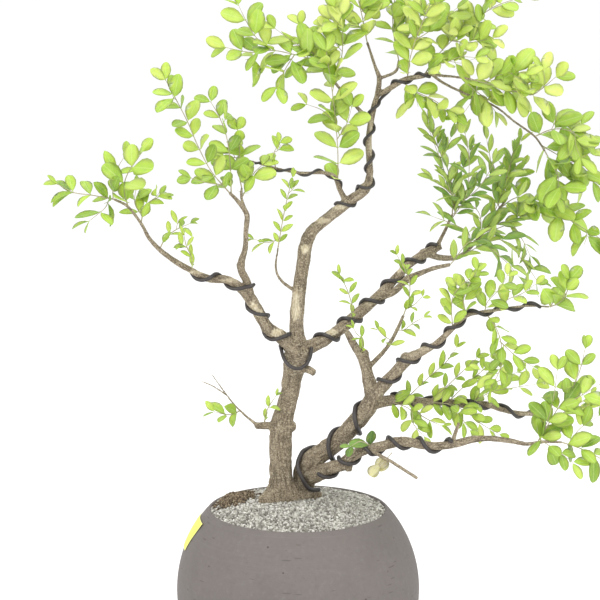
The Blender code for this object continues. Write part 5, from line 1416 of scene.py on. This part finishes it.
def twig_tree():
    """Leafy twigs: a tapering stem with pairs of leaves that alternate, lean forward and face the light."""
    t = Group("leafy twig", "GeometryNodeTree", {
        "Geometry": "Geometry", "Blades": "Collection", "Spacing": 0.01, "Bare length": 0.0,
        "Leaf length": 0.016, "Leaf width": 0.009, "Size spread": 0.15, "Lean": 0.9, "Lean spread": 0.35,
        "Facing": 0.75, "Tone": 0.5, "Tone spread": 0.15, "Seed": 1, "Leaf finish": "Material",
        "Stem finish": "Material"}, {"Geometry": "Geometry"})
    take = t.given
    seeds = [take["Seed"]] + [t.plus(take["Seed"], float(k)) for k in range(1, 6)]
    stems = t.tubes(take["Geometry"], STEM_SIDES, take["Stem finish"])

    # Points along the part of each shoot that bears leaves, two at each level
    span = t.add("GeometryNodeSplineLength").outputs[0]
    bare = t.maths("MINIMUM", take["Bare length"], t.times(span, 0.5))
    leafy = t.add("GeometryNodeTrimCurve", settings={"mode": "LENGTH"}, Curve=take["Geometry"], Start=bare,
                  End=span)
    marked = t.add("GeometryNodeCaptureAttribute")
    marked.capture_items.new("FLOAT", "share")
    t.feed(marked.inputs["Geometry"], leafy)
    t.feed(marked.inputs["share"], t.add("GeometryNodeSplineParameter").outputs["Factor"])
    spots = t.add("GeometryNodeCurveToPoints", settings={"mode": "LENGTH"}, Curve=marked.outputs["Geometry"],
                  Length=take["Spacing"]).outputs
    points = t.store(spots["Points"], "FLOAT_VECTOR", "ahead", spots["Tangent"])
    points = t.store(points, "INT", "level", t.add("GeometryNodeInputIndex"))
    points = t.store(points, "FLOAT", "share", marked.outputs["share"])
    pairs = t.add("GeometryNodeDuplicateElements", settings={"domain": "POINT"}, Geometry=points,
                  Amount=2).outputs
    ahead = t.stored("FLOAT_VECTOR", "ahead")
    level = t.stored("INT", "level")
    share = t.stored("FLOAT", "share")

    # Where each leaf points: one to each side, every third pair crosswise, leaning further ahead at the tip
    side = t.vectors("NORMALIZE", t.vectors("CROSS_PRODUCT", ahead, LIGHT_SIDE))
    half_turn = t.times(pairs["Duplicate Index"], pi)
    quarter = t.times(t.maths("LESS_THAN", t.maths("MODULO", level, 3.0), 0.5), pi / 2)
    angle = t.plus(t.plus(half_turn, quarter), t.random("FLOAT", -0.6, 0.6, seeds[0]))
    outward = t.add("ShaderNodeVectorRotate", settings={"rotation_type": "AXIS_ANGLE"}, Vector=side,
                    Axis=ahead, Angle=angle)
    tilt = t.random("FLOAT", *t.around(take["Lean"], take["Lean spread"]), seeds[1])
    tilt = t.times(tilt, t.fit(share, 0.8, 1.0, 1.0, 0.6))
    heading = t.vectors("ADD", t.vectors("SCALE", ahead, Scale=t.maths("COSINE", tilt)),
                        t.vectors("SCALE", outward, Scale=t.maths("SINE", tilt)))
    facing = t.vectors("ADD", LIGHT_SIDE, t.random("FLOAT_VECTOR", (-0.45,) * 3, (0.45,) * 3, seeds[2]))
    turned = t.add("FunctionNodeAlignRotationToVector", settings={"axis": "Y"}, Vector=heading)
    turned = t.add("FunctionNodeAlignRotationToVector", settings={"axis": "Z", "pivot_axis": "Y"},
                   Rotation=turned, Factor=take["Facing"], Vector=facing)

    # Size, smaller at the tip, and tone
    size = t.random("FLOAT", *t.around(1.0, take["Size spread"]), seeds[3])
    size = t.times(size, t.fit(share, 0.6, 1.0, 1.0, 0.72))
    length = t.times(size, take["Leaf length"])
    scale = t.add("ShaderNodeCombineXYZ", t.times(size, take["Leaf width"]), length, length)
    tone = t.plus(take["Tone"], t.times(t.random("FLOAT", -1.0, 1.0, seeds[4]), take["Tone spread"]))
    toned = t.store(pairs["Geometry"], "FLOAT", "tone", tone)
    leaves = t.planted(toned, take["Blades"], BLADE_SHAPES - 1, seeds[5], turned, scale)
    return t.done(t.joined(stems, t.coated(leaves, take["Leaf finish"])))


def twiglets(line, number, chance, length):
    """Short side shoots along a twig, which fill it out."""
    made = []
    axes = frames(line)
    for k in range(number):
        place = int(len(line) * (0.25 + 0.65 * (k + chance.uniform(0.1, 0.9)) / number))
        place = min(place, len(line) - 2)
        ahead, u, v = axes[place]
        turn = chance.uniform(0, 2 * pi)
        out = u * cos(turn) + v * sin(turn)
        heading = (ahead * 0.7 + out + Vector((0, 0, 0.25))).normalized()
        reach = length * chance.uniform(0.6, 1.1)
        p = line[place]
        bend = Vector((chance.uniform(-0.2, 0.2), chance.uniform(-0.2, 0.2), 0.25))
        made.append([p, p + heading * reach * 0.5, p + (heading + bend).normalized() * reach])
    return made


def make_twigs(twigs):
    """Every leafy twig: its drawn shoots, the small shoots that fill it out, and its leaves."""
    chance = random.Random(TWIG_SEED)
    blades = {
        "oval": blade_collection("oval_leaf", 0.54, 0.5, chance),
        "round": blade_collection("round_leaf", 0.52, 0.46, chance),
        "slim": blade_collection("slim_leaf", 0.5, 0.68, chance),
    }
    for number, (name, (kind, routes)) in enumerate(SPRAYS.items()):
        look = {"size": 1.0, "bare": BARE_STEM, **dict(zip(LEAF_FACTS, LEAVES[kind])), **LOOKS.get(name, {})}
        lines = []
        for k, route in enumerate(routes):
            thick = STEM_RADIUS if k == 0 else SIDE_STEM_RADIUS
            radii = [thick] + [thick * 0.7] * (len(route) - 2) + [thick * 0.4]
            line, radii = smooth_route([placed(p) for p in route], radii, ROUTE_STEP)
            lines.append((line, radii))
            extra = look["shoots"] if k == 0 else look["shoots"] // 2
            for shoot in twiglets(line, extra, chance, look["shoot"] * MM):
                lines.append(smooth_route(shoot, [thick * 0.5, thick * 0.4, thick * 0.3], 2 * MM))
        slot = {"shade": "shade_leaf", "dark": "shade_leaf", "dry": "dry_leaf"}.get(kind, "leaf")
        mesh = applied(
            curves(f"shoots_{name}", lines), f"leaves_{name}", twigs, Blades=blades[look["blade"]],
            Spacing=look["every"] * MM, Bare_length=look["bare"] * MM,
            Leaf_length=look["length"] * look["size"] * MM, Leaf_width=look["width"] * look["size"] * MM,
            Size_spread=LEAF_SPREAD, Lean=radians(look["lean"]), Lean_spread=LEAN_SPREAD,
            Facing=look["facing"], Tone=look["tone"], Tone_spread=look["spread"], Seed=100 + 13 * number,
            Leaf_finish=FINISHES[slot], Stem_finish=FINISHES["stalk"])
        own(thing(f"leaves_{name}", mesh), f"twig_{name}")
    forget(*blades.values())


# ---------------------------------------------------------------- floor, light and camera

def make_stage():
    """A seamless pale floor that rises far behind, soft light from above and in front, and the camera."""
    half, back, front, rise, bend = 9.0, 6.0, -5.0, 6.0, 1.5
    profile = [(front, 0.0), (back - bend, 0.0)]
    profile += [(back - bend + bend * sin(t * pi / 24), bend - bend * cos(t * pi / 24)) for t in range(1, 13)]
    profile.append((back, rise))
    mesh = bpy.data.meshes.new("studio_floor")
    mesh.from_pydata([(x, y, z) for y, z in profile for x in (-half, half)], [],
                     [(2 * k, 2 * k + 1, 2 * k + 3, 2 * k + 2) for k in range(len(profile) - 1)])
    mesh.polygons.foreach_set("use_smooth", [True] * len(mesh.polygons))
    floor = thing("studio_floor", mesh, "floor")

    world = bpy.data.worlds.new("studio_air")
    world.use_nodes = True
    air = world.node_tree.nodes["Background"]
    air.inputs["Color"].default_value = (1.0, 1.0, 1.0, 1.0)
    air.inputs["Strength"].default_value = AIR_LIGHT
    bpy.context.scene.world = world

    for name, place, size, power in LAMPS:
        data = bpy.data.lights.new(name, "AREA")
        data.shape = "DISK"
        data.size = size
        data.energy = power
        lamp = thing(name, data)
        lamp.location = place
        lamp.rotation_euler = (LAMP_AIM - Vector(place)).to_track_quat("-Z", "Y").to_euler()

    data = bpy.data.cameras.new("camera")
    data.lens = CAMERA_LENS
    data.clip_end = CAMERA_REACH
    camera = thing("camera", data)
    away = Vector((0, -cos(CAMERA_ELEVATION), sin(CAMERA_ELEVATION))) * CAMERA_DISTANCE
    camera.location = CAMERA_TARGET + away
    camera.rotation_euler = (-away).to_track_quat("-Z", "Y").to_euler()
    bpy.context.scene.camera = camera
    bpy.context.scene.view_settings.view_transform = "Standard"


# ---------------------------------------------------------------- everything

make_stage()
for node, kind in (("soil", "soil"), ("drain_net", "net")):
    for holder in frame["nodes"][node].material_slots:
        holder.material = FINISHES[kind]

make_pot()
make_label()
scatter = scatter_tree()
stones = angular_grains("stone", STONE_SEED)
crumbs = angular_grains("crumb", CRUMB_SEED)
make_gravel(scatter, stones)
make_moss(scatter, crumbs)
forget(stones, crumbs)

tubes = tube_tree()
routes = limb_routes()
skin = make_wood(routes, tubes)
make_wires(routes, tubes, skin)
make_twigs(twig_tree())
